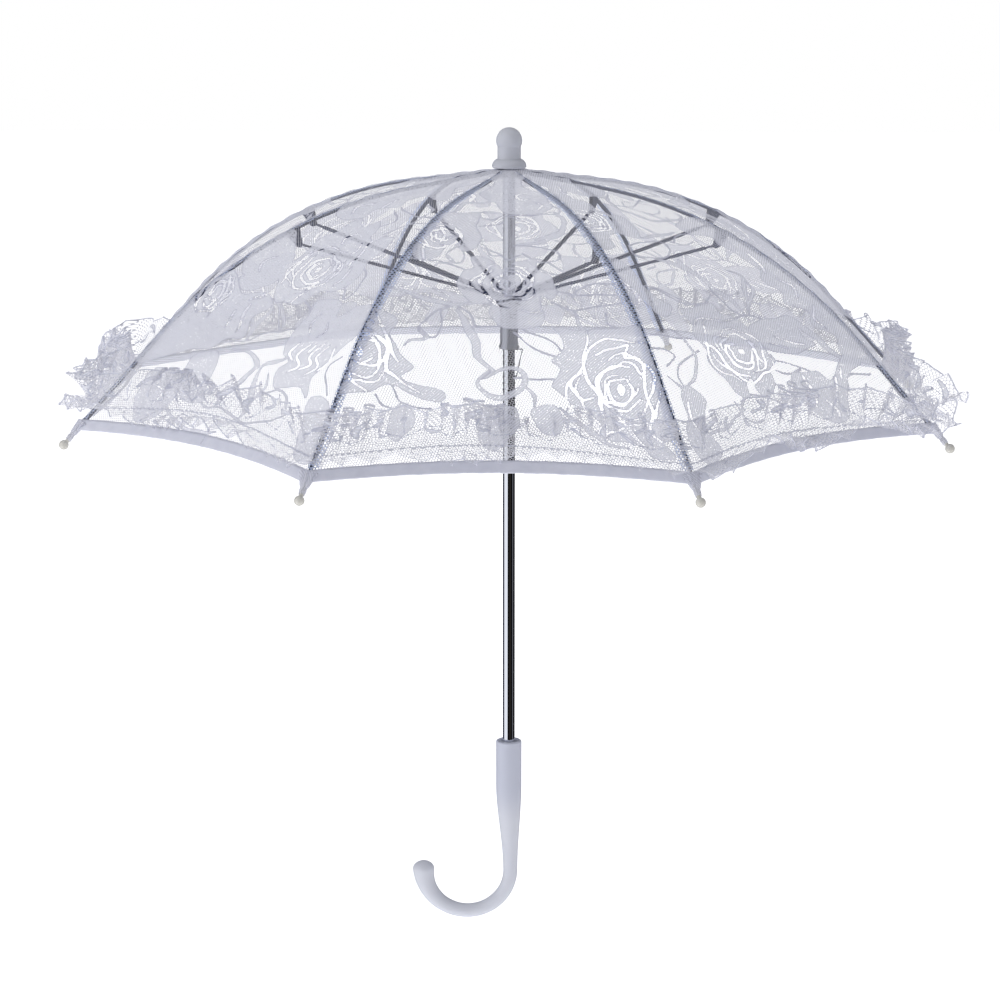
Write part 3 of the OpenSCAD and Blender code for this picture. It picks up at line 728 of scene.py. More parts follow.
def clothwork(name, cloth, cord):
    # dense jacquard clothwork of matt polyester yarn, outlined by a thicker cord: white with a
    # fine weft hatch, tiny holes between the yarns and a greyer raised edge
    material, tree = newMaterial(name)
    place = flatMap(tree, lace["hatch"])
    hatch = {
        "wave_type": "BANDS", "bands_direction": "DIAGONAL", "Scale": 0.32,
        "Distortion": 1.6, "Detail": 1.0, "Detail Scale": 0.6,
    }
    rows = addNode(tree, "ShaderNodeTexWave", hatch, {"Vector": place})
    spots = addNode(tree, "ShaderNodeTexVoronoi", {"Scale": 0.8}, {"Vector": place})
    small = ramp(tree, spots.outputs["Distance"], 0.14, 0.3)
    closed = addMath(tree, "MULTIPLY", small, spread(tree, rows.outputs["Fac"], 0.72, 1.0))
    edge = addNode(tree, "ShaderNodeAttribute", {"attribute_name": "edge"})
    rim = ramp(tree, edge.outputs["Fac"], lace["cordWidth"], lace["cordWidth"] - 0.5)
    alpha = addMath(tree, "MAXIMUM", closed, rim)
    tint = blend(tree, cloth, cord, rim)
    finishMaterial(tree, clothShader(tree, tint, lace["through"], alpha))
    return material


def satin():
    # woven polyester satin ribbon: close and smooth, with a soft lengthwise sheen
    material, tree = newMaterial("polyesterSatin")
    place = flatMap(tree, 6)
    soft = addNode(tree, "ShaderNodeTexNoise", {"Scale": 1.0, "Detail": 2.0}, {"Vector": place})
    tint = blend(tree, "#dcdeea", "#edeef6", soft.outputs["Fac"])
    settings = {"Roughness": 0.45, "IOR": 1.5, "Sheen Weight": 0.3}
    front = addNode(tree, "ShaderNodeBsdfPrincipled", settings, {"Base Color": tint})
    back = addNode(tree, "ShaderNodeBsdfTranslucent", {}, {"Color": tint})
    both = addNode(tree, "ShaderNodeMixShader", {0: 0.25}, {1: front.outputs[0], 2: back.outputs[0]})
    finishMaterial(tree, both.outputs[0])
    return material


def seamCloth():
    # the folded allowance of a seam, four layers of net under stitches: closer than the net, bluer
    material, tree = newMaterial("seamAllowance")
    mask = hexNet(tree, 2.2, 0.15)
    finishMaterial(tree, clothShader(tree, colour("#cdd8f4"), 0.35, mask))
    return material


def milkyPlastic():
    # low density polyethylene, moulded: waxy, half clear and soft in its gloss. The steel tube
    # inside the grip shows through as a darker, bluer stretch down to its end.
    material, tree = newMaterial("milkyPolyethylene")
    place = addNode(tree, "ShaderNodeTexCoord")
    apart = addNode(tree, "ShaderNodeSeparateXYZ", {}, {0: place.outputs["Object"]})
    tube = ramp(tree, apart.outputs["Z"], -0.06, -0.03, "SMOOTHSTEP")
    below = addNode(tree, "ShaderNodeMath", {"operation": "LESS_THAN", 1: 0.01}, {0: apart.outputs["Z"]})
    tint = blend(tree, "#ced0d8", "#bfc2cf", addMath(tree, "MULTIPLY", tube, below.outputs[0]))
    settings = {
        "Roughness": 0.42, "IOR": 1.51, "Specular IOR Level": 0.35,
        "Subsurface Weight": 0.2, "Subsurface Radius": (0.9, 0.95, 1.0), "Subsurface Scale": 0.006,
    }
    shader = addNode(tree, "ShaderNodeBsdfPrincipled", settings, {"Base Color": tint})
    finishMaterial(tree, shader.outputs[0])
    return material


def plainFinish(name, base, metallic, rough, ior=None, coat=0.0):
    material, tree = newMaterial(name)
    settings = {"Base Color": colour(base), "Metallic": metallic, "Roughness": rough}
    if ior:
        settings["IOR"] = ior
    if coat:
        settings["Coat Weight"] = coat
    shader = addNode(tree, "ShaderNodeBsdfPrincipled", settings)
    return material, tree, shader


def chromePlate():
    # bright chrome plate on a drawn steel tube: a mirror that shows the room as upright bands,
    # with faint draw marks along it
    material, tree, shader = plainFinish("chromePlate", "#eceef2", 1.0, 0.06)
    place = addNode(tree, "ShaderNodeTexCoord")
    long = addNode(tree, "ShaderNodeMapping", {"Scale": (900, 900, 6)}, {"Vector": place.outputs["Object"]})
    marks = addNode(tree, "ShaderNodeTexNoise", {"Scale": 1.0, "Detail": 1.0}, {"Vector": long.outputs[0]})
    tree.links.new(spread(tree, marks.outputs["Fac"], 0.03, 0.1), shader.inputs["Roughness"])
    finishMaterial(tree, shader.outputs[0])
    return material


def ribSteel():
    # cold rolled spring steel with a dark, bluish lacquer, rolled into channels: half dull, with
    # small changes of gloss along its length
    material, tree, shader = plainFinish("lacqueredRibSteel", "#2c3347", 0.6, 0.4)
    spots = grain(tree, 240, 2.0)
    tree.links.new(spread(tree, spots, 0.3, 0.55), shader.inputs["Roughness"])
    tree.links.new(blend(tree, "#1f2638", "#465071", spots), shader.inputs["Base Color"])
    finishMaterial(tree, shader.outputs[0])
    return material


def brightSteel(name, base, rough):
    # nickel-plated steel of pins, rings and the runner: bright, worn a little dull
    material, tree, shader = plainFinish(name, base, 1.0, rough)
    worn = spread(tree, grain(tree, 400, 2.0), rough * 0.7, rough * 1.4)
    tree.links.new(worn, shader.inputs["Roughness"])
    finishMaterial(tree, shader.outputs[0])
    return material


def beadPlastic():
    # glossy injection-moulded polystyrene of the rib tips: warm off-white with a small highlight
    material, tree, shader = plainFinish("glossyBead", "#e4e2da", 0.0, 0.22, ior=1.55, coat=0.2)
    tint = blend(tree, "#c9c7bf", "#d8d6cf", grain(tree, 300, 1.0))
    tree.links.new(tint, shader.inputs["Base Color"])
    finishMaterial(tree, shader.outputs[0])
    return material


finishes = {
    "net": bobbinet("polyesterBobbinet", lace["net"], lace["netYarn"]),
    "cloth": clothwork("jacquardClothwork", lace["cloth"], lace["cord"]),
    "frillNet": bobbinet("frillBobbinet", "#e4e4ea", -0.75),
    "frillCloth": clothwork("frillClothwork", "#e4e5ee", "#c2c4d2"),
    "satin": satin(), "seam": seamCloth(), "milky": milkyPlastic(),
    "chrome": chromePlate(), "rib": ribSteel(), "wire": brightSteel("nickelWire", "#c9ccd4", 0.22),
    "runner": brightSteel("nickelSleeve", "#b6b9c0", 0.3), "bead": beadPlastic(),
}
print("finishes made")

# ---- frame nodes keep their shape and get their finish

finishOf = {
    "shaft": "chrome", "stop_pin": "wire", "crown_pin": "wire", "crown_ring": "wire", "crown_notch": "runner",
    "runner": "runner", "runner_ring": "wire", "catch_spring": "wire", "top_washer": "milky",
    "rib": "rib", "bracket": "rib", "stretcher": "rib", "tip": "bead",
}
for name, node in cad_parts.items():
    stem = name if name in finishOf else name.split("_")[0]
    if stem in finishOf:
        node.data.materials.clear()
        node.data.materials.append(finishes[finishOf[stem]])

# ---- lace gores

binding = {"width": 8, "thick": 0.42, "out": 0.5}


def gorePart(gore, side):
    # Half a gore, cut flat and then bent over its ribs: a grid of triangles cut along the two
    # outlines and then along the drawing. side is -1 or 1, the half next to v = -1 or v = 1.
    step = canopy["grid"]
    wide = np.arange(0, halfWidth(np.array(ribLen)) + 2 * step, step)
    down = np.arange(canopy["start"], ribLen + 2 * step, step)
    xy, tris = triangleGrid(side * wide, down)
    if side < 0:
        tris = tris[:, ::-1]
    room = halfWidth(xy[:, 1]) - abs(xy[:, 0])
    v = np.clip(xy[:, 0] / np.maximum(halfWidth(xy[:, 1]), 0.1), -1.2, 1.2)
    outline = np.minimum(room, hemLine(v) - 0.4 - xy[:, 1])
    xy, outline, tris, _, _ = splitAt(xy, tris, outline)
    tris, xy = usedOnly(tris, xy)
    field, gaps = laceField(xy, gore)
    xy, field, solid, open_, gaps = splitAt(xy, tris, field, gaps)
    open_ = open_[openworkBars(xy[open_].mean(1), gaps[open_].mean(1))]
    v = np.clip(xy[:, 0] / halfWidth(xy[:, 1]), -1, 1)
    # the cloth puckers a little next to its hem and its seams
    pucker = 0.35 * np.sin(xy[:, 1] / 2.6 + gore) * np.exp(-(1 - abs(v)) * halfWidth(xy[:, 1]) / 6)
    byHem = np.exp(-(hemLine(v) - xy[:, 1]) / 14)
    pucker += 0.5 * np.sin(xy[:, 0] / 3.3 + 2 * gore) * byHem * (1 - abs(v) ** 8)
    # and lies flat inside the binding
    pucker *= np.clip((hemLine(v) - xy[:, 1] - binding["width"]) / 6, 0, 1)
    points = turned(lacePoint(xy[:, 1], v, canopy["clothUp"] + pucker), goreAngle(gore))
    faces = np.concatenate([solid, open_])
    which = np.concatenate([np.ones(len(solid)), np.zeros(len(open_))])
    return points, faces, which, xy, field


def openworkBars(xy, gaps):
    # an openwork line has no net, only short bars across it that follow the weft
    bars = (xy[:, 1] + 0.35 * xy[:, 0]) % lace["barPitch"] < lace["bar"]
    return (gaps < 0.1) | bars


def joined(parts):
    start, out = 0, [[] for _ in parts[0]]
    for part in parts:
        for k, array in enumerate(part):
            out[k].append(array + start if k == 1 else array)
        start += len(part[0])
    return [np.concatenate(arrays) for arrays in out]


ribs = range(1, canopy["ribs"] + 1)


def goWithRib(piece, i):
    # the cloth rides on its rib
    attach(piece, f"rib_arm_{i}")
    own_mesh(piece)


def goresOf(i):
    # the gores on both sides of a rib: the one before it ends at v = 1, the one after begins at v = -1
    return (i - 1 or canopy["ribs"]), i


def overRib(i, s, q, up):
    # q runs from -1 in the middle of the gore before a rib, over the rib at 0, to 1 in the middle of
    # the gore after it
    before, after = goresOf(i)
    point = lacePoint(s, np.where(q < 0, q + 1, q - 1), up)
    return np.where((q < 0)[..., None], turned(point, goreAngle(before)), turned(point, goreAngle(after)))


lacePieces = {}
for i in ribs:
    before, after = goresOf(i)
    points, faces, which, flat, edge = joined([gorePart(before, 1), gorePart(after, -1)])
    piece = makePiece(f"lace_{i}", points, faces, [finishes["net"], finishes["cloth"]], which, flat, edge)
    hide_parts(f"gore_{i}")
    lacePieces[i] = piece
print("lace made")

# ---- seams along the ribs, and the hem's binding

seam = {"width": 6.4, "under": 0.35, "past": 0.3}  # past: share of the width beyond the rib


def seamBand(i):
    # the allowance of a seam is a narrow strip under the lace, over the rib and more to one side of
    # it; across it t runs from 0 to 1, and it follows the lace from the crown to the hem
    side = 1 if i in (2, 3, 4, 6, 8) else -1
    rows, cols = 170, 7
    s = np.linspace(6, ribLen - 2, rows)
    t = np.linspace(0, 1, cols)
    s, t = (m.ravel() for m in np.meshgrid(s, t, indexing="ij"))
    reach = seam["width"] * np.clip(s / 60, 0.2, 1) * (1 + 0.08 * np.sin(s / 9))
    q = side * (t - seam["past"]) * reach / np.maximum(halfWidth(s), 3)
    points = overRib(i, s, q, canopy["clothUp"] - seam["under"] - 0.2 * t + 0.08 * np.sin(s / 2.1))
    return points, quadGrid(rows, cols), np.stack([t * reach, s], 1)


def bindingLoop(i):
    # a ribbon folded round the edge of the hem: its section is a flat loop, up over the lace, round
    # the edge and back under it, carried along the hem from the middle of one gore to the next
    n = 121
    q = np.linspace(-1, 1, n)
    section = []
    for a in np.linspace(-np.pi / 2, np.pi / 2, 7):
        section.append((binding["out"] * np.cos(a), binding["thick"] * np.sin(a)))
    inner = [(-binding["width"] * k / 4, binding["thick"]) for k in range(1, 5)]
    under = [(-binding["width"] * k / 4, -binding["thick"]) for k in range(4, 0, -1)]
    section = np.array(section + inner + under)
    m = len(section)
    q, back = (g.ravel() for g in np.meshgrid(q, section[:, 0], indexing="ij"))
    lift = np.tile(section[:, 1], n)
    wave = (0.15 * np.sin(40 * q) + 0.1 * np.sin(97 * q + i)) * (1 - (1 - abs(q)) ** 6)
    v = 1 - abs(q)
    points = overRib(i, hemLine(v) + back, q, canopy["clothUp"] + lift + wave)
    along, across = q * halfWidth(np.array(ribLen)), back
    return points, quadGrid(n, m, wrap=True), np.stack([along, across], 1)


corner = {"start": -8, "end": 7.6, "width": 6.5, "thick": 2.4, "neck": 1.8, "least": 1.5, "pleats": 9}


def cornerTie(i):
    # The hem's corner is drawn together round the stem of the rib's tip: a pleated sleeve whose
    # section is an ellipse, wide under the hem and nearly round at the tip, pulled in by a thread.
    # radius = (neck + (width - neck) (1 - t)^1.6) (1 + 0.16 sin(pleats a)), t along it and a round it
    c = corner
    n, m = 30, 72
    t, a = np.meshgrid(np.linspace(0, 1, n), np.linspace(0, 2 * np.pi, m, endpoint=False), indexing="ij")
    t, a = t.ravel(), a.ravel()
    s = ribLen + c["start"] + (c["end"] - c["start"]) * t
    r, z, slope = ribLine(s)
    narrow = (1 - t) ** 1.6
    gathers = np.sin(c["pleats"] * a + 1.5 * np.sin(3 * t + i))
    pleat = 1 + 0.16 * gathers * np.sin(np.pi * np.clip(t, 0.05, 0.95)) ** 0.4
    thread = 0.5 * np.exp(-(((t - 0.72) / 0.06) ** 2))
    closed = np.minimum(1, 0.25 + 12 * t)
    wide = np.maximum(c["least"], (c["neck"] + (c["width"] - c["neck"]) * narrow) * pleat - thread) * closed
    thick = np.maximum(c["least"], (c["neck"] + (c["thick"] - c["neck"]) * narrow) * pleat - thread) * closed
    across, up = wide * np.cos(a), thick * np.sin(a) + 0.9 * (1 - t)
    points = np.stack([r + up * np.sin(slope), across, z + up * np.cos(slope)], -1)
    return turned(points, ribAngle(i)), quadGrid(n, m, wrap=True), np.stack([a * c["width"], s], 1)


for i in ribs:
    points, faces, flat = seamBand(i)
    band = makePiece(f"seam_{i}", points, faces, [finishes["seam"]], flat=flat)
    goWithRib(band, i)
    points, faces, flat = bindingLoop(i)
    hem = makePiece(f"binding_{i}", points, faces, [finishes["satin"]], flat=flat)
    goWithRib(hem, i)
    points, faces, flat = cornerTie(i)
    edge = np.full(len(points), 9.0)  # far from any cord
    tie = makePiece(f"corner_{i}", points, faces, [finishes["frillCloth"]], flat=flat, edge=edge)
    goWithRib(tie, i)
    goWithRib(lacePieces[i], i)
print("seams and bindings made")

# ---- gathered ruffle

ruffle = {
    "stitch": 15,  # distance of the stitch line from the hem's edge
    "upper": 25,  # free width above the stitch line
    "lower": 15,
    "drift": 3.6,  # how far the stitch line wanders up and down round the canopy
    "fullness": 1.45,  # flat length over gathered length
    "fold": 17,  # length of one fold along the hem
    "swing": 5.0,  # how far the folds swing at the upper edge, before they are fitted to the cut
    "scallop": 19,
    "deep": 3.0,  # depth of the scallops
    "repeat": 44,  # length of the drawing before it starts again
    "press": 0.55,  # share of the swing that the folds lose in front
    "grid": 1.0,
    "tilt": {"front": 22, "side": 66, "back": 46},  # degrees from lying on the canopy
}
ribAngles = (2 * np.arange(canopy["ribs"]) + 1) * halfStep
fitted = np.ones(canopy["ribs"])  # share of the swing at each rib, fitted below
noiseTurns = rng.uniform(0, 2 * np.pi, (6, 40))
noiseSizes = rng.normal(0, 1, (6, 40))


def roundNoise(which, angle, low, high):
    # a sum of waves that run a whole number of times round the canopy, about -1 to 1
    k = np.arange(low, high)
    waves = noiseSizes[which][: len(k)] * np.sin(np.multiply.outer(angle, k) + noiseTurns[which][: len(k)])
    return waves.sum(-1) / np.sqrt(len(k)) * 1.2


def stitchLine(i, q):
    # Along one piece q runs from -1 to 1, from the middle of a gore over the rib to the middle of the
    # next. Gives the stitch line's points, and the directions along it, up the canopy and out of it.
    angle = ribAngle(i) + q * halfStep
    drift = ruffle["drift"] * (0.35 * roundNoise(5, angle, 3, 9) - np.sin(2 * (angle - 1.5 * np.pi)))
    stitch = hemLine(1 - abs(q)) - ruffle["stitch"] - drift
    height = canopy["clothUp"] + 1.6
    point = overRib(i, stitch, q, height)
    climb = overRib(i, stitch - 1, q, height) - point
    climb /= np.linalg.norm(climb, axis=1)[:, None]
    ahead = np.gradient(point, axis=0)
    ahead /= np.linalg.norm(ahead, axis=1)[:, None]
    out = np.cross(ahead, climb)
    out *= np.sign((out * [0, 0, 1]).sum(1))[:, None]
    out /= np.linalg.norm(out, axis=1)[:, None]
    return point, ahead, climb, out


def ruffleShape(i, q, b):
    # A flap leaves the stitch line at its tilt from the canopy; its folds swing across the flap and
    # along the hem, further the further out, as in a frill: x = swing sin 2f / 2, y = swing sin f.
    steps = 1200
    point, ahead, climb, out = stitchLine(i, np.linspace(-1, 1, steps + 1))
    at = (q + 1) / 2 * steps
    pick = np.clip(at.round().astype(int), 0, steps)
    share = np.clip(at - pick, -0.5, 0.5)[:, None]
    nxt = np.clip(pick + np.sign(share[:, 0]).astype(int), 0, steps)
    near = abs(share)
    base = point[pick] * (1 - near) + point[nxt] * near
    along, up, away = ahead[pick], climb[pick], out[pick]
    angle = ribAngle(i) + q * halfStep
    frontness = np.clip(-np.sin(angle), 0, 1) ** 2
    backness = np.clip(np.sin(angle), 0, 1) ** 1.5
    tilts = ruffle["tilt"]
    tilt = tilts["side"] + (tilts["front"] - tilts["side"]) * frontness
    tilt = tilt + (tilts["back"] - tilts["side"]) * backness
    tilt = np.radians(tilt + 13 * roundNoise(0, angle, 5, 17))
    flare = np.radians(26 + 14 * roundNoise(1, angle, 9, 25))
    upper = b > 0
    lean = np.where(upper, tilt, np.pi - flare)
    far = abs(b)
    # the flap curls over a little towards its edge
    bend = lean + np.where(upper, 0.35 * roundNoise(2, angle, 4, 20), -0.2) * far / ruffle["upper"]
    across = np.cos(bend)[:, None] * up + np.sin(bend)[:, None] * away
    normal = -np.sin(bend)[:, None] * up + np.cos(bend)[:, None] * away
    reach = halfWidth(np.array(ribLen))
    phase = 2 * np.pi * (angle / halfStep * reach / ruffle["fold"] + 0.5 * roundNoise(3, angle, 3, 24))
    phase += 0.25 * far / ruffle["upper"] * roundNoise(4, angle, 8, 30)
    grow = np.where(upper, (far / ruffle["upper"]) ** 0.8, 0.55 * (far / ruffle["lower"]) ** 0.8)
    # in front the frill lies pressed on the canopy: its folds hardly stand up, and lean over each
    # other instead, which takes up the same length of cloth
    calm = 1 - ruffle["press"] * frontness
    full = ruffle["swing"] * np.interp(angle, ribAngles, fitted, period=2 * np.pi) * grow
    full *= 1 + 0.25 * roundNoise(5, angle, 6, 26)
    swing = full * calm
    gather = 0.7 * np.exp(-far / 7) * np.sin(4 * phase)
    side = 0.35 * full * np.sin(2 * phase)
    sway = swing * np.sin(phase)
    move = across * far[:, None] * 0.97 + normal * (sway + gather)[:, None] + along * side[:, None]
    # the binding is thick, so the lower flap stays out of it
    lift = np.where(upper, np.maximum(0, -sway * np.cos(lean)) * 0.8, swing * 0.75 + 0.6)
    return base + move + away * lift[:, None]


def foldedShare(i):
    # area of the folded strip over the area that it was cut to, on a grid of quads
    q, b = np.linspace(-1, 1, 321), np.linspace(-ruffle["lower"], ruffle["upper"], 31)
    q, b = np.meshgrid(q, b, indexing="ij")
    points = ruffleShape(i, q.ravel(), b.ravel()).reshape(*q.shape, 3)
    along, across = points[1:, :-1] - points[:-1, :-1], points[:-1, 1:] - points[:-1, :-1]
    cut = 2 * halfWidth(np.array(ribLen)) * ruffle["fullness"] * (ruffle["lower"] + ruffle["upper"])
    return np.linalg.norm(np.cross(along, across), axis=2).sum() / cut


def ruffleField(flat):
    # a row of small sprigs between the edges: a leaf on a stem, a bud and the stem's curl, drawn once
    # and repeated along the strip
    period = ruffle["repeat"]
    x = (flat[:, 0] + period / 2) % period - period / 2
    xy = np.stack([x, flat[:, 1]], 1)
    field = np.full(len(xy), -9.0)
    addVine(xy, field, 0.8, [(-22, 9), (-12, 6), (-4, 9), (4, 15), (12, 15), (22, 9)])
    addVine(xy, field, 2.6, [(-8, 9), (-9, 14), (-6, 19)])
    addVine(xy, field, 3.0, [(4, 16), (8, 20), (13, 20)])
    addVine(xy, field, 2.2, [(11, 14), (15, 10), (19, 9)])
    addVine(xy, field, 1.8, [(-20, 17), (-16, 20), (-17, 24)])
    addVine(xy, field, 0.8, [(-22, -6), (-14, -5), (-2, -6), (8, -8), (22, -6)])
    return field


def scallopEdge(x):
    return abs(np.cos(np.pi * x / ruffle["scallop"])) ** 0.7


def ruffleSheet(i):
    reach = halfWidth(np.array(ribLen)) * ruffle["fullness"]
    step = ruffle["grid"]
    count = int(2 * reach / step)
    a = np.linspace(-reach, reach, count + 1)
    b = np.arange(-ruffle["lower"] - 3, ruffle["upper"] + 3.5, step)
    xy, tris = triangleGrid(a, b)
    shift = reach * (2 * i - 1)  # the drawing runs on from piece to piece
    top = ruffle["upper"] - 1 + ruffle["deep"] * scallopEdge(xy[:, 0] + shift) - xy[:, 1]
    bottom = xy[:, 1] + ruffle["lower"] - 1 + ruffle["deep"] * scallopEdge(xy[:, 0] + shift + 4)
    xy, rim, tris, _, _ = splitAt(xy, tris, np.minimum(top, bottom))
    tris, xy, rim = usedOnly(tris, xy, rim)
    field = np.maximum(ruffleField(xy + [shift, 0]), 1.1 - rim)
    field = np.maximum(field, 0.7 - abs(xy[:, 1]))
    xy, field, solid, open_, _ = splitAt(xy, tris, field)
    points = ruffleShape(i, xy[:, 0] / reach, xy[:, 1])
    faces = np.concatenate([solid, open_])
    which = np.concatenate([np.ones(len(solid)), np.zeros(len(open_))])
    return points, faces, which, xy + [shift, 0], field


# the folds swing as far as takes up the cloth that was cut: the share comes to 1 in a few rounds
for _ in range(7):
    shares = np.array([foldedShare(i) for i in ribs])
    fitted = np.clip(fitted / shares**1.6, 0.3, 2.6)
print("frill folds fitted, shares", shares.round(2))

for i in ribs:
    points, faces, which, flat, edge = ruffleSheet(i)
    materials = [finishes["frillNet"], finishes["frillCloth"]]
    frill = makePiece(f"frill_{i}", points, faces, materials, which, flat, edge)
    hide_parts(f"ruffle_{i}")
    goWithRib(frill, i)
print("ruffle made")

# ---- handle, finial


def sweep(centres, normals, radii, sides):
    # A profile carried along a path in the plane y = 0: round each centre the section has the given
    # radius, across the path in the plane and along y. Both ends are left open.
    a = np.linspace(0, 2 * np.pi, sides, endpoint=False)
    ring = np.cos(a)[None, :, None] * normals[:, None, :] + np.sin(a)[None, :, None] * np.array([0, 1, 0])
    points = centres[:, None, :] + radii[:, None, None] * ring
    return points.reshape(-1, 3), quadGrid(len(centres), sides, wrap=True)


handle = {
    "mouthD": 17.2, "mouthRound": 1.0, "gripLen": 91.5, "hookD": 9.4, "hookR": 29.5, "knobD": 14.8,
    "shift": 1.1,  # how far the grip's lower end leans away from the knob
}


def ease(t):
    u = np.clip(t, 0, 1)
    return u * u * (3 - 2 * u)


def handlePath():
    # Down the grip the diameter eases from the mouth to the hook's; round the half circle of the
    # hook it swells again towards the knob, which closes as a dome.
    h = handle
    t = np.linspace(0, 1, 60)
    grip = np.stack([h["shift"] * ease((t - 0.33) / 0.67), 0 * t, -h["gripLen"] * t], 1)
    gripD = h["mouthD"] + (h["hookD"] + 0.3 - h["mouthD"]) * ease((t - 0.33) / 0.67)
    gripN = np.tile([1.0, 0, 0], (len(t), 1))
    b = np.linspace(0, 1, 90)[1:]
    x0 = h["shift"] - h["hookR"]
    hookX, hookZ = x0 + h["hookR"] * np.cos(np.pi * b), -h["gripLen"] - h["hookR"] * np.sin(np.pi * b)
    hook = np.stack([hookX, 0 * b, hookZ], 1)
    swell = np.clip((b - 0.45) / 0.55, 0, 1) ** 2.2
    hookD = h["hookD"] + 0.3 * np.clip(1 - b / 0.45, 0, 1) + (h["knobD"] - h["hookD"]) * swell
    hookN = np.stack([np.cos(np.pi * b), 0 * b, -np.sin(np.pi * b)], 1)
    q = np.radians(np.linspace(0, 89.5, 26)[1:])
    knob = np.stack([x0 - h["hookR"] + 0 * q, 0 * q, -h["gripLen"] + 0.385 * h["knobD"] * np.sin(q)], 1)
    knobN = np.tile([-1.0, 0, 0], (len(q), 1))
    # the mouth: a flat ring with a rounded edge, and the bore going in
    bore = middle("shaft")[0] + 4.05
    inside = np.array([[0, 0, -3.0], [0, 0, -0.25]])
    e = np.linspace(0, np.pi / 2, 8)
    edgeR = h["mouthD"] / 2 - h["mouthRound"] * (1 - np.sin(e))
    edge = np.stack([0 * e, 0 * e, -h["mouthRound"] + h["mouthRound"] * np.cos(e)], 1)
    keepGrip = grip[:, 2] < -h["mouthRound"] - 0.2
    centres = np.concatenate([inside, edge, grip[keepGrip], hook, knob])
    normals = np.concatenate([np.tile([1.0, 0, 0], (len(inside) + len(e), 1)), gripN[keepGrip], hookN, knobN])
    knobR = h["knobD"] / 2 * np.cos(q)
    radii = np.concatenate([[bore, bore + 0.15], edgeR, gripD[keepGrip] / 2, hookD / 2, knobR])
    return centres, normals, radii


centres, normals, radii = handlePath()
points, faces = sweep(centres, normals, radii, 72)
grip = makePiece("handle_skin", points, faces[:, ::-1], [finishes["milky"]])
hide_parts("handle")
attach(grip, "shaft_body")

finial = {"ballD": 17, "neckD": 15.2, "bellD": 22.4, "neckZ": 0.23, "rim": 0.8, "sides": 96}


def finialProfile():
    # up from the rim: a quarter round shoulder, a short neck and the ball, turned about the shaft
    low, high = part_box("finial")
    z0, h = low.z / mm, (high.z - low.z) / mm
    f = finial
    roundR = f["neckZ"] * h - f["rim"]
    bell, neck, ball = f["bellD"] / 2, f["neckD"] / 2, f["ballD"] / 2
    top = np.arccos(np.clip((neck - bell + roundR) / roundR, -1, 1))
    a = np.linspace(0, top, 16)
    shoulder = np.stack([bell - roundR + roundR * np.cos(a), f["rim"] + roundR * np.sin(a)], 1)
    b = np.linspace(-np.arccos(neck / ball), np.pi / 2 - 0.01, 40)
    round_ = np.stack([ball * np.cos(b), h - ball + ball * np.sin(b)], 1)
    neckLine = np.stack([np.full(3, neck), np.linspace(shoulder[-1, 1] + 0.3, round_[0, 1] - 0.3, 3)], 1)
    bore = 4.1
    under = np.array([[bore, 3.0], [bore, 0.2], [bell - 0.5, 0.0], [bell, 0.35]])
    line = np.concatenate([under, shoulder, neckLine, round_])
    line[:, 1] += z0
    return line


line = finialProfile()
turn = np.linspace(0, 2 * np.pi, finial["sides"], endpoint=False)
across, up = line[:, :1], np.tile(line[:, 1:], (1, len(turn)))
points = np.stack([across * np.cos(turn), across * np.sin(turn), up], -1).reshape(-1, 3)
faces = quadGrid(len(line), len(turn), wrap=True)
knob = makePiece("finial_skin", points, faces, [finishes["milky"]])
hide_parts("finial")
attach(knob, "shaft_body")
print("handle and finial made")

# ---- studio

floorZ = cadBox[0].z - 0.002
size = 6.0  # half the side of the floor
mesh = bpy.data.meshes.new("floor")
square = [(-size, -size, floorZ), (size, -size, floorZ), (size, size, floorZ), (-size, size, floorZ)]
mesh.from_pydata(square, [], [(0, 1, 2, 3)])
floor = bpy.data.objects.new("floor", mesh)
bpy.context.scene.collection.objects.link(floor)
material, tree, shader = plainFinish("lightTable", "#f6f6f8", 0.0, 0.9, ior=1.45)
shader.inputs["Emission Color"].default_value = (1, 1, 1, 1)
shader.inputs["Emission Strength"].default_value = 0.8
finishMaterial(tree, shader.outputs[0])
mesh.materials.append(material)
floor.visible_glossy = False

# bands of the studio round the object: where they start, as degrees from the camera's direction
# towards the right, and what they look like to shiny metal
bands = [
    (-96, "#f6f8ff"), (-24, "#0b0b0d"), (10, "#2c2926"), (40, "#0b0b0d"), (72, "#6a6a70"),
    (90, "#141418"), (178, "#141832"),
]
room = {"seen": 1.0, "light": 0.47, "tint": "#f0f1f6"}


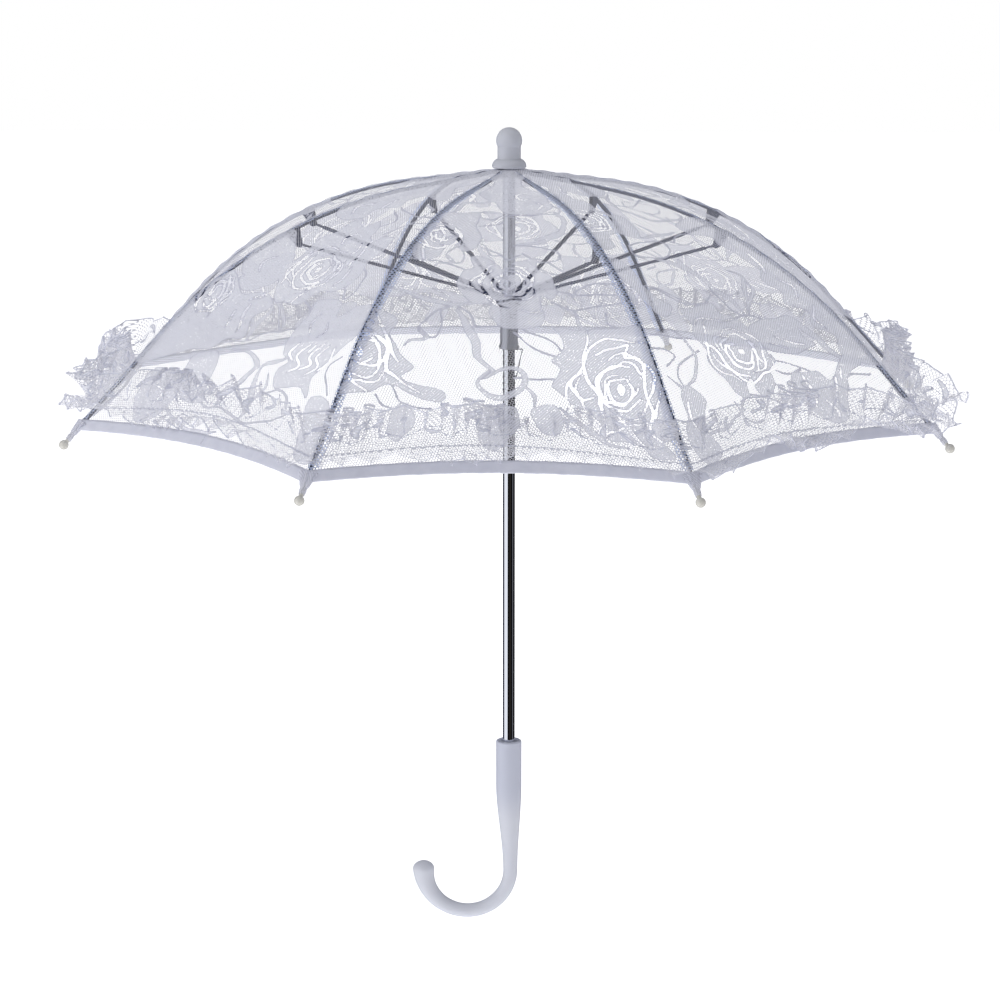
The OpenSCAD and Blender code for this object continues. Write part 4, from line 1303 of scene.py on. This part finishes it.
def studio():
    world = bpy.data.worlds.new("studio")
    bpy.context.scene.world = world
    world.use_nodes = True
    tree = world.node_tree
    tree.nodes.clear()
    path = addNode(tree, "ShaderNodeLightPath")
    place = addNode(tree, "ShaderNodeTexCoord")
    around = {"Vector": place.outputs["Generated"]}
    wheel = addNode(tree, "ShaderNodeTexGradient", {"gradient_type": "RADIAL"}, around)
    shades = addNode(tree, "ShaderNodeValToRGB", {}, {"Fac": wheel.outputs["Fac"]})
    stops = sorted((((0.25 + angle / 360) % 1), shade) for angle, shade in bands)
    elements = shades.color_ramp.elements
    last = stops[-1][1]
    elements[0].position, elements[0].color = 0.0, colour(last)
    elements[1].position, elements[1].color = 1.0, colour(last)
    for position, shade in stops:
        edge = elements.new(max(position - 0.006, 0.0001))
        edge.color = colour(last)
        here = elements.new(min(position + 0.006, 0.9999))
        here.color = colour(shade)
        last = shade
    seen = addNode(tree, "ShaderNodeBackground", {"Color": (1, 1, 1, 1), "Strength": room["seen"]})
    light = addNode(tree, "ShaderNodeBackground", {"Color": colour(room["tint"]), "Strength": room["light"]})
    mirror = addNode(tree, "ShaderNodeBackground", {"Strength": 1.0}, {"Color": shades.outputs["Color"]})
    glossy, direct = path.outputs["Is Glossy Ray"], path.outputs["Is Camera Ray"]
    one = addNode(tree, "ShaderNodeMixShader", {}, {0: glossy, 1: light.outputs[0], 2: mirror.outputs[0]})
    two = addNode(tree, "ShaderNodeMixShader", {}, {0: direct, 1: one.outputs[0], 2: seen.outputs[0]})
    addNode(tree, "ShaderNodeOutputWorld", links={"Surface": two.outputs[0]})


studio()

lamps = {
    "key": {"place": (-2.1, -0.9, 1.3), "size": 1.0, "power": 16, "tint": "#ffffff"},
    "fill": {"place": (1.8, -1.2, 0.7), "size": 1.4, "power": 0.5, "tint": "#f6f0fa"},
    "top": {"place": (0.0, 0.6, 2.2), "size": 1.8, "power": 7, "tint": "#ffffff"},
}
aim = np.array([0, 0, 0.22])
for name, lamp in lamps.items():
    data = bpy.data.lights.new(name, "AREA")
    data.shape = "SQUARE"
    data.size = lamp["size"]
    data.energy = lamp["power"]
    data.color = colour(lamp["tint"])[:3]
    light = bpy.data.objects.new(name, data)
    bpy.context.scene.collection.objects.link(light)
    light.location = lamp["place"]
    light.rotation_mode = "QUATERNION"
    to = Vector(tuple(aim - np.array(lamp["place"])))
    light.rotation_quaternion = to.to_track_quat("-Z", "Y")
    light.visible_glossy = False
    light.visible_camera = False

scene = bpy.context.scene
scene.view_settings.view_transform = "Standard"
scene.cycles.transparent_max_bounces = 40
print("studio made")
